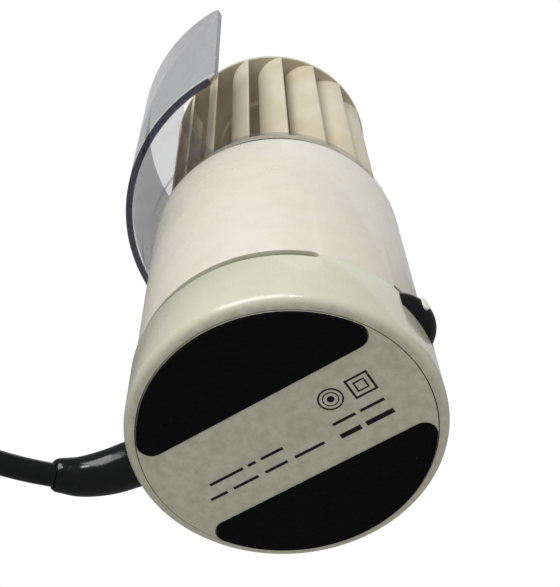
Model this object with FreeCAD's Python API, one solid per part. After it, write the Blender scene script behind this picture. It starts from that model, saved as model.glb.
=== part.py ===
"""Small mains desk fan: an upright round body with a bladed drum on top and a clear air guide.

The origin is the middle of the base on the surface that the fan stands on. +Z runs up the
motor shaft, +X points right and -Y points forward. All sizes are in millimetres and all
directions round the body are azimuths in degrees from +X towards +Y.
"""

import FreeCAD
import Part
import math
import os

V = FreeCAD.Vector
UP = V(0, 0, 1)
ORIGIN = V(0, 0, 0)

# Outer body
BODY_R = 37.5
BASE_R = 38.1
SHELL_WALL = 2.2
SEAM_Z = 22.0
BODY_TOP_Z = 90.4
DECK_THICKNESS = 2.2
SEAM_BEVEL = 0.35
CUT_PAST = 1.0

# Base and what it stands on
PAD_PROUD = 0.5
BASE_BOTTOM_Z = 0.7
BASE_FILLET = 2.6
PLATE_R = 35.15
PLATE_OPENING_R = 35.4
PLATE_TOP_Z = 2.6
PAD_R = 34.95
PAD_HALF_STRIP = 13.0
PAD_AZIMUTHS = (-123.4, 56.6)
PAD_CORNER_R = 3.4
PAD_TOP_Z = 1.2
PAD_POCKET_GAP = 0.15
BOSS_PITCH_R = 31.8
PLATE_BOSS_PITCH_R = 30.5
BOSS_R = 3.5
BOSS_WEB_HALF = 1.5
PLATE_BOSS_TOP_Z = 15.0
PLATE_LEDGE_GAP = 0.1
SCREW_SHANK_R = 1.25
SCREW_PASS_R = 1.6
SCREW_HEAD_R = 2.8
SCREW_HEAD_HEIGHT = 2.0
SCREW_SLOT = (0.4, 0.6)
PLATE_SCREW_SEAT = 0.5
BODY_BOSS_AZIMUTHS = (25.0, 100.0, -100.0)
BODY_BOSS_BOTTOM_Z = 8.0
BODY_BOSS_TOP_Z = 36.0

# Finger groove along the seam
GROOVE_Z = (20.1, 23.5)
GROOVE_FLOOR_R = 36.35
GROOVE_AZIMUTHS = (-168.3, -80.9)

# Thumb wheel switch
WHEEL_AZIMUTH = -32.9
WHEEL_AXLE_R = 31.45
WHEEL_R = 9.9
WHEEL_Z = (16.6, 24.6)
WHEEL_RIM_BULGE = 2.6
WHEEL_OPENING = (8.5, 0.5, 1.4)
WHEEL_ROOM = 0.3
CAM_R = 2.6
CAM_LOBE_R = 1.2
AXLE_R = 1.5
BEARING_GAP = 0.05
DOT_ANGLE = -48.0
DOT_SIZE = (1.3, 2.2)
DOT_RAISE = 0.4
DOT_DEPTH = 1.5
DOT_PROUD = 0.1
BRACKET_Z = (12.6, 28.2)
BRACKET_PLATE = 1.5
BRACKET_U = (-15.0, 3.0)
BRACKET_BACK = 3.4
BRACKET_HALF_WIDTH = 5.0
CONTACT_V = (-2.2, 0.6)
CONTACT_WIDTH = 1.6
CONTACT_ABOVE_WHEEL = (0.4, 1.2)
SPRING_THICKNESS = 0.5
SPRING_HALF_WIDTH = 4.0
SPRING_NOSE_R = 0.7
CAM_HEIGHT = 1.6

# Air guide
NECK_R = 33.5
NECK_WALL = 2.2
NECK_TOP_Z = 96.2
GUIDE_GAP = 0.1
GUIDE_Z = (90.9, 97.0)
GUIDE_RING_R = 36.8
GUIDE_COLLAR_R = 41.2
GUIDE_COLLAR_WALL = 2.0
GUIDE_CENTRE = V(6.46, -8.65, 0)
GUIDE_WALL_R = 52.4
GUIDE_WALL = 2.0
GUIDE_TOP_Z = 162.0
GUIDE_FLOOR_Z = 95.0
GUIDE_FLOOR_AZIMUTHS = (127.0, 237.0)
GUIDE_WALL_ANGLES = (127.0, 241.5)
GUIDE_CORNER_R = 3.0
GUIDE_WEB_CORNER_R = 5.0
RETAINER_R = 34.6
RETAINER_GAP = 0.2
RETAINER_THICKNESS = 0.7
RETAINER_SPIGOT_R = 33.1

# Bladed drum
DRUM_R = 34.5
DRUM_BASE_Z = (98.2, 101.0)
DRUM_TOP_Z = (172.4, 174.0)
DRUM_RIM = 1.3
BLADE_COUNT = 18
BLADE_TIP_AZIMUTH = -84.6
BLADE_TIP_R = 34.3
BLADE_ROOT_R = 27.2
BLADE_SWEEP = 15.5
BLADE_TIP_THICKNESS = 0.7
BLADE_ROOT_THICKNESS = 1.2
BLADE_BACK_BULGE = 2.3
BLADE_FACE_BULGE = 0.8
DRUM_HUB_R = 8.0
DRUM_HUB_TOP_Z = 112.0
DRUM_RIB_R = (16.4, 18.4)
DRUM_RIB_DEPTH = 2.2
DRUM_EDGE = 0.4
HUB_SCREW_BELOW_TOP = 4.0

# Motor
SHAFT_R = 2.0
SHAFT_Z = (34.0, 111.0)
BUSH_R = 5.0
BUSH_WALL = 2.0
BUSH_Z = ((36.0, 43.0), (69.0, 76.0))
WASHER_Z = ((43.3, 43.9), (68.1, 68.7))
STACK_Z = (48.0, 64.0)
STACK_X = (-20.0, 26.0)
STACK_HALF_Y = 19.5
ROTOR_R = 11.0
AIR_GAP = 0.3
LEG_X = (19.0, 26.0)
WINDOW_X = (13.0, 19.0)
WINDOW_HALF_Y = 11.0
BOBBIN_BUILD = 5.0
BOBBIN_WALL = 0.8
BOBBIN_FLANGE = 1.0
SCREW_SPOTS = (V(9.0, 15.5, 0), V(-9.0, -15.5, 0))
MOTOR_SCREW_R = 1.5
MOTOR_SCREW_TOP_Z = 85.6
SPACER_R = 3.0
END_RING_HEIGHT = 2.4
SHADE_SLOT_X = (-8.9, -7.1)
SHADE_SLOT_Y = (12.2, 13.8)
SHADE_LOOP_X = (-8.7, -7.3)
SHADE_LOOP_Y = (12.4, 21.0)
SHADE_LOOP_WALL = 1.3
SHADE_LOOP_END = 1.6
SHADE_GAP = 0.2
WINDING_SINK = 0.4
BRACKET_HALF_WIDTH_MOTOR = 6.0
LOWER_BRACKET_Z = (38.0, 40.0)
UPPER_BRACKET_Z = (72.0, 74.0)
PLATE_Z = (78.0, 80.0)
PLATE_SCREW_R = 27.0
PLATE_SCREW_AZIMUTHS = (20.0, 140.0, -100.0)
PLATE_OUTER_R = 31.0
PLATE_CENTRE_HOLE_R = 8.0
GROMMET_HOLE_R = 4.0
GROMMET_FLANGE = 1.5
GROMMET_Z = (76.6, 81.4)
NUT_R = 3.1
NUT_HEIGHT = 2.4

# Mains lead
CORD_R = 2.85
CORD_AZIMUTH = 158.0
CORD_EXIT_Z = 10.0
TAIL_END_R = 16.0
CLAMP_U = (20.0, 26.0)
CLAMP_HALF_WIDTH = 7.0
CLAMP_CAP = 4.4
CLAMP_SCREW_V = 5.0
CLAMP_SCREW_HEAD = (2.0, 1.4)
TERMINAL_U = (6.0, 16.0)
TERMINAL_HALF_WIDTH = 8.0
TERMINAL_TOP_Z = 13.0
TERMINAL_SCREW_U = (8.5, 13.5)
TERMINAL_SCREW = (1.7, 1.2)
COIL_LEAD_R = 0.8
SWITCH_LEAD_R = 0.7
RELIEF_R = 6.0
RELIEF_FLANGE_R = 7.2
RELIEF_FLANGE_U = (33.0, 34.8)
RELIEF_NECK_U = 39.0
COIL_CENTRE = V(-113.0, 24.0, 0)
COIL_TURN_RADII = (29.2, 34.9)
COIL_LAYERS = 5
TIE_AZIMUTH = 60.0
TIE_GAP = 0.45
TIE_THICKNESS = 1.0
TIE_HALF_WIDTH = 4.0
ROUTE_ARC_SHARE = 0.45
CORD_ROUTE = (
    V(-56.0, 14.1, 4.9),
    V(-67.7, 9.5, 2.9),
    V(-81.0, 0.5, 2.9),
    V(-96.5, -8.0, 2.9),
    V(-113.0, -10.9, 2.9),
)
END_ROUTE = (
    V(-78.1, 24.0, 10.2),
    V(-77.9, 8.5, 9.3),
    V(-80.5, -7.5, 9.2),
    V(-88.0, -22.0, 8.3),
    V(-100.5, -31.8, 7.3),
    V(-115.5, -36.0, 6.9),
)
PLUG_AXIS_AZIMUTH = -164.4
PLUG_BODY = (35.3, 36.0, 13.7)
PLUG_NECK = 10.0
PLUG_WIDENS = 0.4
PLUG_ROUNDING = 2.0
PIN_PITCH = 19.0
PIN_R = 2.0
PIN_LENGTH = 19.0


def polar(radius, azimuth, z=0.0):
    """Return the point at a radius, azimuth and height."""
    angle = math.radians(azimuth)
    return V(radius * math.cos(angle), radius * math.sin(angle), z)


def disc(radius, z, at=ORIGIN):
    """Return an upright cylinder between two heights."""
    return Part.makeCylinder(radius, z[1] - z[0], V(at.x, at.y, z[0]))


def ring(outer, inner, z, at=ORIGIN):
    """Return an upright hollow cylinder between two heights."""
    return disc(outer, z, at).cut(disc(inner, z, at))


def block(x, y, z):
    """Return a box from its limits along each axis."""
    return Part.makeBox(x[1] - x[0], y[1] - y[0], z[1] - z[0], V(x[0], y[0], z[0]))


def sector(radius, z, azimuths, at=ORIGIN):
    """Return a wedge of a cylinder between two azimuths."""
    span = azimuths[1] - azimuths[0]
    wedge = Part.makeCylinder(radius, z[1] - z[0], ORIGIN, UP, span)
    wedge.rotate(ORIGIN, UP, azimuths[0])
    wedge.translate(V(at.x, at.y, z[0]))
    return wedge


def turned(points, closing_arc=None):
    """Return the solid that a closed (radius, height) outline sweeps round Z.

    closing_arc holds three (radius, height) points that bulge the last side outwards.
    """
    corners = [V(r, 0, z) for r, z in points]
    edges = [Part.LineSegment(a, b).toShape() for a, b in zip(corners, corners[1:])]
    if closing_arc:
        edges.append(Part.Arc(*[V(r, 0, z) for r, z in closing_arc]).toShape())
    else:
        edges.append(Part.LineSegment(corners[-1], corners[0]).toShape())
    return Part.Face(Part.Wire(edges)).revolve(ORIGIN, UP, 360)


def facing(shape, azimuth, at=ORIGIN):
    """Turn a shape built along +X to an azimuth, then move it."""
    moved = shape.copy()
    moved.rotate(ORIGIN, UP, azimuth)
    moved.translate(at)
    return moved


def joined(shapes):
    """Fuse shapes into one clean solid."""
    return shapes[0].fuse(shapes[1:]).removeSplitter()


def rod(radius, start, end):
    """Return a round bar between two points."""
    axis = end - start
    return Part.makeCylinder(radius, axis.Length, start, axis)


def route_wire(points, name):
    """Return straight runs joined by tangent arcs, and print each arc's radius."""
    edges = []
    radii = []
    start = points[0]
    for before, corner, after in zip(points, points[1:], points[2:]):
        back = before - corner
        ahead = after - corner
        setback = ROUTE_ARC_SHARE * min(back.Length, ahead.Length)
        half_turn = (math.pi - back.getAngle(ahead)) / 2
        radius = setback / math.tan(half_turn)
        back.normalize()
        ahead.normalize()
        inward = (back + ahead).normalize()
        middle = corner + inward * (radius / math.cos(half_turn) - radius)
        edges.append(Part.LineSegment(start, corner + back * setback).toShape())
        edges.append(Part.Arc(corner + back * setback, middle, corner + ahead * setback).toShape())
        start = corner + ahead * setback
        radii.append(round(radius, 1))
    edges.append(Part.LineSegment(start, points[-1]).toShape())
    print(name, "bend radii", radii)
    return Part.Wire(edges)


def tube_along(points, radius, name):
    """Return a round tube along a route, and print how its volume compares."""
    wire = route_wire(points, name)
    section = Part.Wire(Part.makeCircle(radius, points[0], points[1] - points[0]))
    tube = wire.makePipeShell([section], True, True)
    expected = math.pi * radius**2 * wire.Length
    print(name, "length", round(wire.Length, 1), "volume ratio", round(tube.Volume / expected, 4))
    return tube


def pan_screw(spot, head_z, tip_z):
    """Return a pan head screw whose head is at the bottom."""
    head = disc(SCREW_HEAD_R, head_z, spot)
    shank = disc(SCREW_SHANK_R, (head_z[1], tip_z), spot)
    half_slot, slot_depth = SCREW_SLOT
    slot = block((-SCREW_HEAD_R, SCREW_HEAD_R), (-half_slot, half_slot), (head_z[0], head_z[0] + slot_depth))
    slot.translate(V(spot.x, spot.y, 0))
    return head.fuse(shank).cut(slot)


def groove_cutter():
    """Return the round-ended groove that crosses the seam."""
    outer_r = BASE_R + CUT_PAST
    band = sector(outer_r, GROOVE_Z, GROOVE_AZIMUTHS).cut(disc(GROOVE_FLOOR_R, GROOVE_Z))
    middle_z = sum(GROOVE_Z) / 2
    end_r = (GROOVE_Z[1] - GROOVE_Z[0]) / 2
    ends = [rod(end_r, polar(GROOVE_FLOOR_R, a, middle_z), polar(outer_r, a, middle_z)) for a in GROOVE_AZIMUTHS]
    return band.fuse(ends)


def wheel_opening_cutter():
    """Return the round-cornered window for the thumb wheel."""
    half_width, gap, corner = WHEEL_OPENING
    z = (WHEEL_Z[0] - gap, WHEEL_Z[1] + gap)
    window = block((WHEEL_AXLE_R, BASE_R + CUT_PAST), (-half_width, half_width), z)
    along = [e for e in window.Edges if abs(e.tangentAt(0).x) > 0.9]
    room = disc(WHEEL_R + WHEEL_ROOM, z)
    return facing(window.makeFillet(corner, along), WHEEL_AZIMUTH).fuse(at_wheel(room))


def webbed_boss(pitch_r, azimuth, z, wall_r):
    """Return a screw boss joined to the shell's wall by a web."""
    reach = wall_r + SHELL_WALL / 4
    web = facing(block((pitch_r, reach), (-BOSS_WEB_HALF, BOSS_WEB_HALF), z), azimuth)
    return disc(BOSS_R, z, polar(pitch_r, azimuth)).fuse(web)


def base_shell(groove, window):
    """Round lower housing with its bosses, cord hole and half of the wheel window."""
    inner_r = BASE_R - SHELL_WALL
    bottom = BASE_BOTTOM_Z
    foot_r = BASE_R - BASE_FILLET
    ledge_z = PLATE_TOP_Z + PLATE_LEDGE_GAP
    body = turned([
        (foot_r, bottom), (PLATE_OPENING_R, bottom), (PLATE_OPENING_R, ledge_z), (inner_r, ledge_z),
        (inner_r, SEAM_Z), (BASE_R - SEAM_BEVEL, SEAM_Z), (BASE_R, SEAM_Z - SEAM_BEVEL),
        (BASE_R, bottom + BASE_FILLET),
    ], (
        (BASE_R, bottom + BASE_FILLET),
        (foot_r + BASE_FILLET * math.cos(math.pi / 4), bottom + BASE_FILLET * (1 - math.sin(math.pi / 4))),
        (foot_r, bottom),
    ))
    bosses = [webbed_boss(PLATE_BOSS_PITCH_R, a, (PLATE_TOP_Z, PLATE_BOSS_TOP_Z), inner_r) for a in PAD_AZIMUTHS]
    bosses += [webbed_boss(BOSS_PITCH_R, a, (BODY_BOSS_BOTTOM_Z, SEAM_Z), inner_r) for a in BODY_BOSS_AZIMUTHS]
    holes = [disc(SCREW_SHANK_R, (0, PLATE_BOSS_TOP_Z - CUT_PAST), polar(PLATE_BOSS_PITCH_R, a))
             for a in PAD_AZIMUTHS]
    holes += [disc(SCREW_PASS_R, (BODY_BOSS_BOTTOM_Z - CUT_PAST, SEAM_Z + CUT_PAST), polar(BOSS_PITCH_R, a))
              for a in BODY_BOSS_AZIMUTHS]
    cord_hole = rod(RELIEF_R + BEARING_GAP, polar(inner_r - CUT_PAST, CORD_AZIMUTH, CORD_EXIT_Z),
                    polar(BASE_R + CUT_PAST, CORD_AZIMUTH, CORD_EXIT_Z))
    return joined([body] + bosses).cut(holes + [cord_hole, groove, window])


def d_outline(radius, half_strip, corner, z, azimuth):
    """Return a D-shaped slab: a disc beyond a chord, with rounded corners."""
    slab = disc(radius, z).common(block((half_strip, radius + CUT_PAST), (-radius, radius), z))
    upright = [e for e in slab.Edges if abs(e.tangentAt(e.FirstParameter).z) > 0.9]
    upright = [e for e in upright if e.Vertexes[0].Point.x < half_strip + PAD_POCKET_GAP]
    return facing(slab.makeFillet(corner, upright), azimuth)


def bottom_plate():
    """Round base plate with two D-shaped pad pockets and counterbored screw holes."""
    plate = disc(PLATE_R, (PAD_PROUD, PLATE_TOP_Z))
    cutters = []
    for azimuth in PAD_AZIMUTHS:
        spot = polar(PLATE_BOSS_PITCH_R, azimuth)
        pocket_r = PAD_R + PAD_POCKET_GAP
        cutters.append(d_outline(pocket_r, PAD_HALF_STRIP - PAD_POCKET_GAP, PAD_CORNER_R,
                                 (PAD_PROUD - CUT_PAST, PAD_TOP_Z), azimuth))
        cutters.append(disc(SCREW_HEAD_R + PAD_POCKET_GAP, (PAD_TOP_Z, PLATE_TOP_Z - PLATE_SCREW_SEAT), spot))
        cutters.append(disc(SCREW_PASS_R, (PAD_TOP_Z, PLATE_TOP_Z + CUT_PAST), spot))
    return plate.cut(cutters)


def foot_pad(azimuth):
    """D-shaped pad that the fan stands on."""
    return d_outline(PAD_R, PAD_HALF_STRIP, PAD_CORNER_R, (0, PAD_TOP_Z), azimuth)


def plate_screws():
    """Two screws, under the pads, that hold the base plate."""
    head_z = (PAD_TOP_Z + BEARING_GAP, PLATE_TOP_Z - PLATE_SCREW_SEAT)
    tip_z = PLATE_BOSS_TOP_Z - 2 * CUT_PAST
    return [pan_screw(polar(PLATE_BOSS_PITCH_R, a), head_z, tip_z) for a in PAD_AZIMUTHS]


def body_screws():
    """Three screws that hold the upper shell on the base."""
    head_z = (BODY_BOSS_BOTTOM_Z - SCREW_HEAD_HEIGHT, BODY_BOSS_BOTTOM_Z)
    tip_z = BODY_BOSS_TOP_Z - 4 * CUT_PAST
    return [pan_screw(polar(BOSS_PITCH_R, a), head_z, tip_z) for a in BODY_BOSS_AZIMUTHS]


def upper_shell(groove, window):
    """Tall round housing with its top deck, neck and inner bosses."""
    inner_r = BODY_R - SHELL_WALL
    bevel = SEAM_BEVEL
    neck_inner = NECK_R - NECK_WALL
    deck_z = BODY_TOP_Z - DECK_THICKNESS
    body = turned([
        (inner_r, SEAM_Z), (BODY_R - bevel, SEAM_Z), (BODY_R, SEAM_Z + bevel), (BODY_R, BODY_TOP_Z - bevel),
        (BODY_R - bevel, BODY_TOP_Z), (NECK_R, BODY_TOP_Z), (NECK_R, NECK_TOP_Z), (neck_inner, NECK_TOP_Z),
        (neck_inner, BODY_TOP_Z), (SHAFT_R * 3, BODY_TOP_Z), (SHAFT_R * 3, deck_z), (inner_r, deck_z),
    ])
    bosses = [webbed_boss(BOSS_PITCH_R, a, (SEAM_Z, BODY_BOSS_TOP_Z), inner_r) for a in BODY_BOSS_AZIMUTHS]
    bosses += [disc(BOSS_R, (PLATE_Z[1], deck_z), polar(PLATE_SCREW_R, a)) for a in PLATE_SCREW_AZIMUTHS]
    holes = [disc(SCREW_SHANK_R, (SEAM_Z - CUT_PAST, BODY_BOSS_TOP_Z - 2 * CUT_PAST), polar(BOSS_PITCH_R, a))
             for a in BODY_BOSS_AZIMUTHS]
    holes += [disc(SCREW_SHANK_R, (PLATE_Z[1] - CUT_PAST, deck_z - CUT_PAST), polar(PLATE_SCREW_R, a))
              for a in PLATE_SCREW_AZIMUTHS]
    return joined([body] + bosses).cut(holes + [groove, window])


def guide_retainer():
    """Ring on top of the neck that keeps the air guide down."""
    inner_r = NECK_R - NECK_WALL
    low = GUIDE_Z[1] + RETAINER_GAP
    flange = ring(RETAINER_R, inner_r, (low, low + RETAINER_THICKNESS))
    return flange.fuse(ring(RETAINER_SPIGOT_R, inner_r, (NECK_TOP_Z, low)))


def wheel_point(u, v, z):
    """Return a point u outwards and v sideways from the thumb wheel's axle."""
    return facing(Part.Vertex(V(u, v, z)), WHEEL_AZIMUTH, polar(WHEEL_AXLE_R, WHEEL_AZIMUTH)).Point


def at_wheel(shape):
    """Move a shape built round the Z axis to the thumb wheel's axle."""
    return facing(shape, WHEEL_AZIMUTH, polar(WHEEL_AXLE_R, WHEEL_AZIMUTH))


def switch_wheel():
    """Thumb wheel with a rounded rim and its own axle."""
    low, high = WHEEL_Z
    shoulder = WHEEL_R - WHEEL_RIM_BULGE
    wheel = turned([(shoulder, high), (0, high), (0, low), (shoulder, low)],
                   ((shoulder, low), (WHEEL_R, (low + high) / 2 + DOT_RAISE), (shoulder, high)))
    return at_wheel(joined([wheel, disc(AXLE_R, BRACKET_Z)]))


def wheel_dot():
    """Oval mark set in the wheel's rim."""
    middle = (WHEEL_Z[0] + WHEEL_Z[1]) / 2 + DOT_RAISE
    oval = Part.Ellipse(V(0, 0, 0), DOT_SIZE[1], DOT_SIZE[0]).toShape()
    plug = Part.Face(Part.Wire(oval)).extrude(V(0, 0, DOT_DEPTH + DOT_PROUD))
    plug.rotate(ORIGIN, V(0, 1, 0), 90)
    plug.translate(V(WHEEL_R - DOT_DEPTH, 0, middle))
    body_turn = facing(plug, DOT_ANGLE - WHEEL_AZIMUTH)
    return at_wheel(body_turn)


def switch_cam():
    """Three-lobed cam on the wheel's axle that works the contacts."""
    z = (WHEEL_Z[1], WHEEL_Z[1] + CAM_HEIGHT)
    lobes = [disc(CAM_LOBE_R, z, polar(CAM_R - CAM_LOBE_R / 3, a)) for a in (60, 180, 300)]
    return at_wheel(joined([disc(CAM_R, z)] + lobes).cut(disc(AXLE_R, z)))


def switch_bracket():
    """C-shaped holder for the wheel's axle, standing on the base plate."""
    width = (-BRACKET_HALF_WIDTH, BRACKET_HALF_WIDTH)
    back = (BRACKET_U[0], BRACKET_U[0] + BRACKET_BACK)
    low, high = BRACKET_Z
    parts = [
        block(back, width, (PLATE_TOP_Z, high)),
        block(BRACKET_U, width, (low, low + BRACKET_PLATE)),
        block(BRACKET_U, width, (high - BRACKET_PLATE, high)),
    ]
    return at_wheel(joined(parts).cut(disc(AXLE_R + BEARING_GAP, (low - CUT_PAST, high + CUT_PAST))))


def switch_contacts():
    """Two contact leaves beside the cam."""
    u = (BRACKET_U[0] + BRACKET_BACK, -CAM_R - CAM_LOBE_R - BEARING_GAP)
    z = tuple(WHEEL_Z[1] + rise for rise in CONTACT_ABOVE_WHEEL)
    return [at_wheel(block(u, (v, v + CONTACT_WIDTH), z)) for v in CONTACT_V]


def detent_spring():
    """Leaf spring behind the wheel."""
    u0 = BRACKET_U[0] + BRACKET_BACK
    low, high = WHEEL_Z
    leaf = block((u0, u0 + SPRING_THICKNESS), (-SPRING_HALF_WIDTH, SPRING_HALF_WIDTH), (low + 1, high - 1))
    nose = rod(SPRING_NOSE_R, V(u0 + SPRING_NOSE_R, 0, low + 2), V(u0 + SPRING_NOSE_R, 0, high - 2))
    return at_wheel(leaf.fuse(nose))


def air_guide():
    """Turning ring with a crescent floor and a tall curved wall, in one clear piece."""
    floor_z = (GUIDE_FLOOR_Z, GUIDE_Z[1])
    reach = sector(GUIDE_WALL_R * 2, (0, GUIDE_TOP_Z), GUIDE_FLOOR_AZIMUTHS)
    swivel = ring(GUIDE_RING_R, NECK_R + GUIDE_GAP, GUIDE_Z)
    collar = ring(GUIDE_COLLAR_R, GUIDE_COLLAR_R - GUIDE_COLLAR_WALL, GUIDE_Z).common(reach)
    floor = disc(GUIDE_WALL_R - GUIDE_WALL / 2, floor_z, GUIDE_CENTRE)
    floor = floor.fuse(disc(GUIDE_COLLAR_R, floor_z)).common(reach).cut(disc(GUIDE_RING_R - 0.5, floor_z))
    corner_z = (GUIDE_FLOOR_Z + GUIDE_TOP_Z) / 2
    wall = ring(GUIDE_WALL_R, GUIDE_WALL_R - GUIDE_WALL, (GUIDE_FLOOR_Z, GUIDE_TOP_Z))
    wall = wall.common(sector(GUIDE_WALL_R + 1, (GUIDE_FLOOR_Z, GUIDE_TOP_Z), GUIDE_WALL_ANGLES))
    across = [e for e in wall.Edges if e.Length < GUIDE_WALL * 1.5 and abs(e.Vertexes[0].Z - corner_z) > 1]
    wall = wall.makeFillet(GUIDE_CORNER_R, across)
    wall.translate(GUIDE_CENTRE)
    guide = joined([swivel, collar, floor, wall])
    inner = GUIDE_WALL_R - GUIDE_WALL
    webs = [e for e in guide.Edges if abs(e.Length - GUIDE_WALL) < 0.01
            and abs((e.CenterOfMass - GUIDE_CENTRE - V(0, 0, e.CenterOfMass.z)).Length - inner) < 0.05
            and e.CenterOfMass.z < GUIDE_Z[1]]
    return guide.makeFillet(GUIDE_WEB_CORNER_R, webs) if webs else guide


def drum_base():
    """Round floor of the drum with the hub that grips the shaft."""
    plate = turned([
        (0, DRUM_BASE_Z[0]), (DRUM_R - DRUM_EDGE, DRUM_BASE_Z[0]), (DRUM_R, DRUM_BASE_Z[0] + DRUM_EDGE),
        (DRUM_R, DRUM_BASE_Z[1]), (0, DRUM_BASE_Z[1]),
    ])
    hub = Part.makeCone(DRUM_HUB_R + 2, DRUM_HUB_R, DRUM_HUB_TOP_Z - DRUM_BASE_Z[1], V(0, 0, DRUM_BASE_Z[1]))
    bore = disc(SHAFT_R * 2, (DRUM_BASE_Z[0] - CUT_PAST, DRUM_HUB_TOP_Z + CUT_PAST))
    screw_z = DRUM_HUB_TOP_Z - HUB_SCREW_BELOW_TOP
    screw_hole = rod(SCREW_SHANK_R, V(0, 0, screw_z), V(DRUM_HUB_R + 2, 0, screw_z))
    return joined([plate, hub]).cut([bore, screw_hole])


def hub_bush():
    """Brass sleeve between the hub and the shaft."""
    sleeve = ring(SHAFT_R * 2, SHAFT_R, (DRUM_BASE_Z[0], DRUM_HUB_TOP_Z))
    screw_z = DRUM_HUB_TOP_Z - HUB_SCREW_BELOW_TOP
    return sleeve.cut(rod(SCREW_SHANK_R, V(0, 0, screw_z), V(DRUM_HUB_R, 0, screw_z)))


def hub_screw():
    """Grub screw that locks the hub to the shaft."""
    screw_z = DRUM_HUB_TOP_Z - HUB_SCREW_BELOW_TOP
    return rod(SCREW_SHANK_R, V(SHAFT_R, 0, screw_z), V(DRUM_HUB_R, 0, screw_z))


def blade():
    """One forward-curved blade with a bulging back, at azimuth 0."""
    tip = polar(BLADE_TIP_R, 0)
    root = polar(BLADE_ROOT_R, -BLADE_SWEEP)
    chord = tip - root
    out = V(chord.y, -chord.x, 0).normalize()
    tip_half = out * (BLADE_TIP_THICKNESS / 2)
    root_half = out * (BLADE_ROOT_THICKNESS / 2)
    middle = (tip + root) / 2
    back = Part.Arc(tip + tip_half, middle + out * BLADE_BACK_BULGE, root + root_half)
    face = Part.Arc(root - root_half, middle + out * BLADE_FACE_BULGE, tip - tip_half)
    tip_end = Part.Arc(tip - tip_half, tip + chord * (BLADE_TIP_THICKNESS / 2 / chord.Length), tip + tip_half)
    root_end = Part.Arc(root + root_half, root - chord * (BLADE_ROOT_THICKNESS / 2 / chord.Length),
                        root - root_half)
    outline = Part.Wire([back.toShape(), root_end.toShape(), face.toShape(), tip_end.toShape()])
    solid = Part.Face(outline).extrude(V(0, 0, DRUM_TOP_Z[0] - DRUM_BASE_Z[1]))
    solid.translate(V(0, 0, DRUM_BASE_Z[1]))
    return solid


def drum_blades():
    """All the drum's blades, evenly spaced."""
    pitch = 360.0 / BLADE_COUNT
    one = blade()
    return [facing(one, BLADE_TIP_AZIMUTH + k * pitch) for k in range(BLADE_COUNT)]


def drum_top():
    """Closed top of the drum, with a shallow recess above and a stiffening ring below."""
    low, high = DRUM_TOP_Z
    edge = DRUM_EDGE
    cap = turned([
        (0, low), (DRUM_R, low), (DRUM_R, high - edge), (DRUM_R - edge, high),
        (DRUM_R - DRUM_RIM * 2, high), (DRUM_R - DRUM_RIM * 2 - edge, high - edge), (0, high - edge),
    ])
    rib = ring(DRUM_RIB_R[1], DRUM_RIB_R[0], (low - DRUM_RIB_DEPTH, low))
    return joined([cap, rib])


def motor_shaft():
    """Steel shaft from the motor up into the drum."""
    return disc(SHAFT_R, SHAFT_Z)


def rotor_core():
    """Laminated rotor."""
    return ring(ROTOR_R, SHAFT_R, STACK_Z)


def rotor_end_rings():
    """Cast rings at both ends of the rotor."""
    low, high = STACK_Z
    return [ring(ROTOR_R - AIR_GAP, ROTOR_R / 2, z)
            for z in ((low - END_RING_HEIGHT, low), (high, high + END_RING_HEIGHT))]


def thrust_washers():
    """Washers on the shaft next to the two bushes."""
    return [ring(SHAFT_R * 2, SHAFT_R, z) for z in WASHER_Z]


def stator_core():
    """Laminated stator with the rotor bore, the coil window and the shading slots."""
    core = block(STACK_X, (-STACK_HALF_Y, STACK_HALF_Y), STACK_Z)
    cutters = [disc(ROTOR_R + AIR_GAP, STACK_Z), block(WINDOW_X, (-WINDOW_HALF_Y, WINDOW_HALF_Y), STACK_Z)]
    cutters += [disc(MOTOR_SCREW_R, STACK_Z, spot) for spot in SCREW_SPOTS]
    cutters += [facing(block(SHADE_SLOT_X, SHADE_SLOT_Y, STACK_Z), turn) for turn in (0, 180)]
    return core.cut(cutters)


def shading_rings():
    """Two copper loops round parts of the poles."""
    low, high = STACK_Z
    loop = block(SHADE_LOOP_X, SHADE_LOOP_Y, (low - SHADE_LOOP_END, high + SHADE_LOOP_END))
    inner_y = (SHADE_LOOP_Y[0] + SHADE_LOOP_WALL, SHADE_LOOP_Y[1] - SHADE_LOOP_WALL)
    loop = loop.cut(block(SHADE_SLOT_X, inner_y, (low - SHADE_GAP, high + SHADE_GAP)))
    return [facing(loop, turn) for turn in (0, 180)]


def bobbin_limits(inset):
    """Return the coil's X and Z limits, drawn in by an inset."""
    x = (LEG_X[0] - BOBBIN_BUILD + inset, LEG_X[1] + BOBBIN_BUILD - inset)
    z = (STACK_Z[0] - BOBBIN_BUILD + inset, STACK_Z[1] + BOBBIN_BUILD - inset)
    return x, z


def coil_bobbin():
    """Moulded former round the stator's leg."""
    flange_x, flange_z = bobbin_limits(0)
    tube_x = (LEG_X[0] - BOBBIN_WALL, LEG_X[1] + BOBBIN_WALL)
    tube_z = (STACK_Z[0] - BOBBIN_WALL, STACK_Z[1] + BOBBIN_WALL)
    inside = WINDOW_HALF_Y - BOBBIN_FLANGE
    parts = [block(tube_x, (-inside, inside), tube_z)]
    parts += [block(flange_x, y, flange_z) for y in ((-WINDOW_HALF_Y, -inside), (inside, WINDOW_HALF_Y))]
    return joined(parts).cut(block(LEG_X, (-WINDOW_HALF_Y, WINDOW_HALF_Y), STACK_Z))


def coil_winding():
    """Copper winding on the bobbin."""
    x, z = bobbin_limits(WINDING_SINK)
    y = WINDOW_HALF_Y - BOBBIN_FLANGE
    core_x = (LEG_X[0] - BOBBIN_WALL, LEG_X[1] + BOBBIN_WALL)
    core_z = (STACK_Z[0] - BOBBIN_WALL, STACK_Z[1] + BOBBIN_WALL)
    return block(x, (-y, y), z).cut(block(core_x, (-y, y), core_z))


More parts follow.
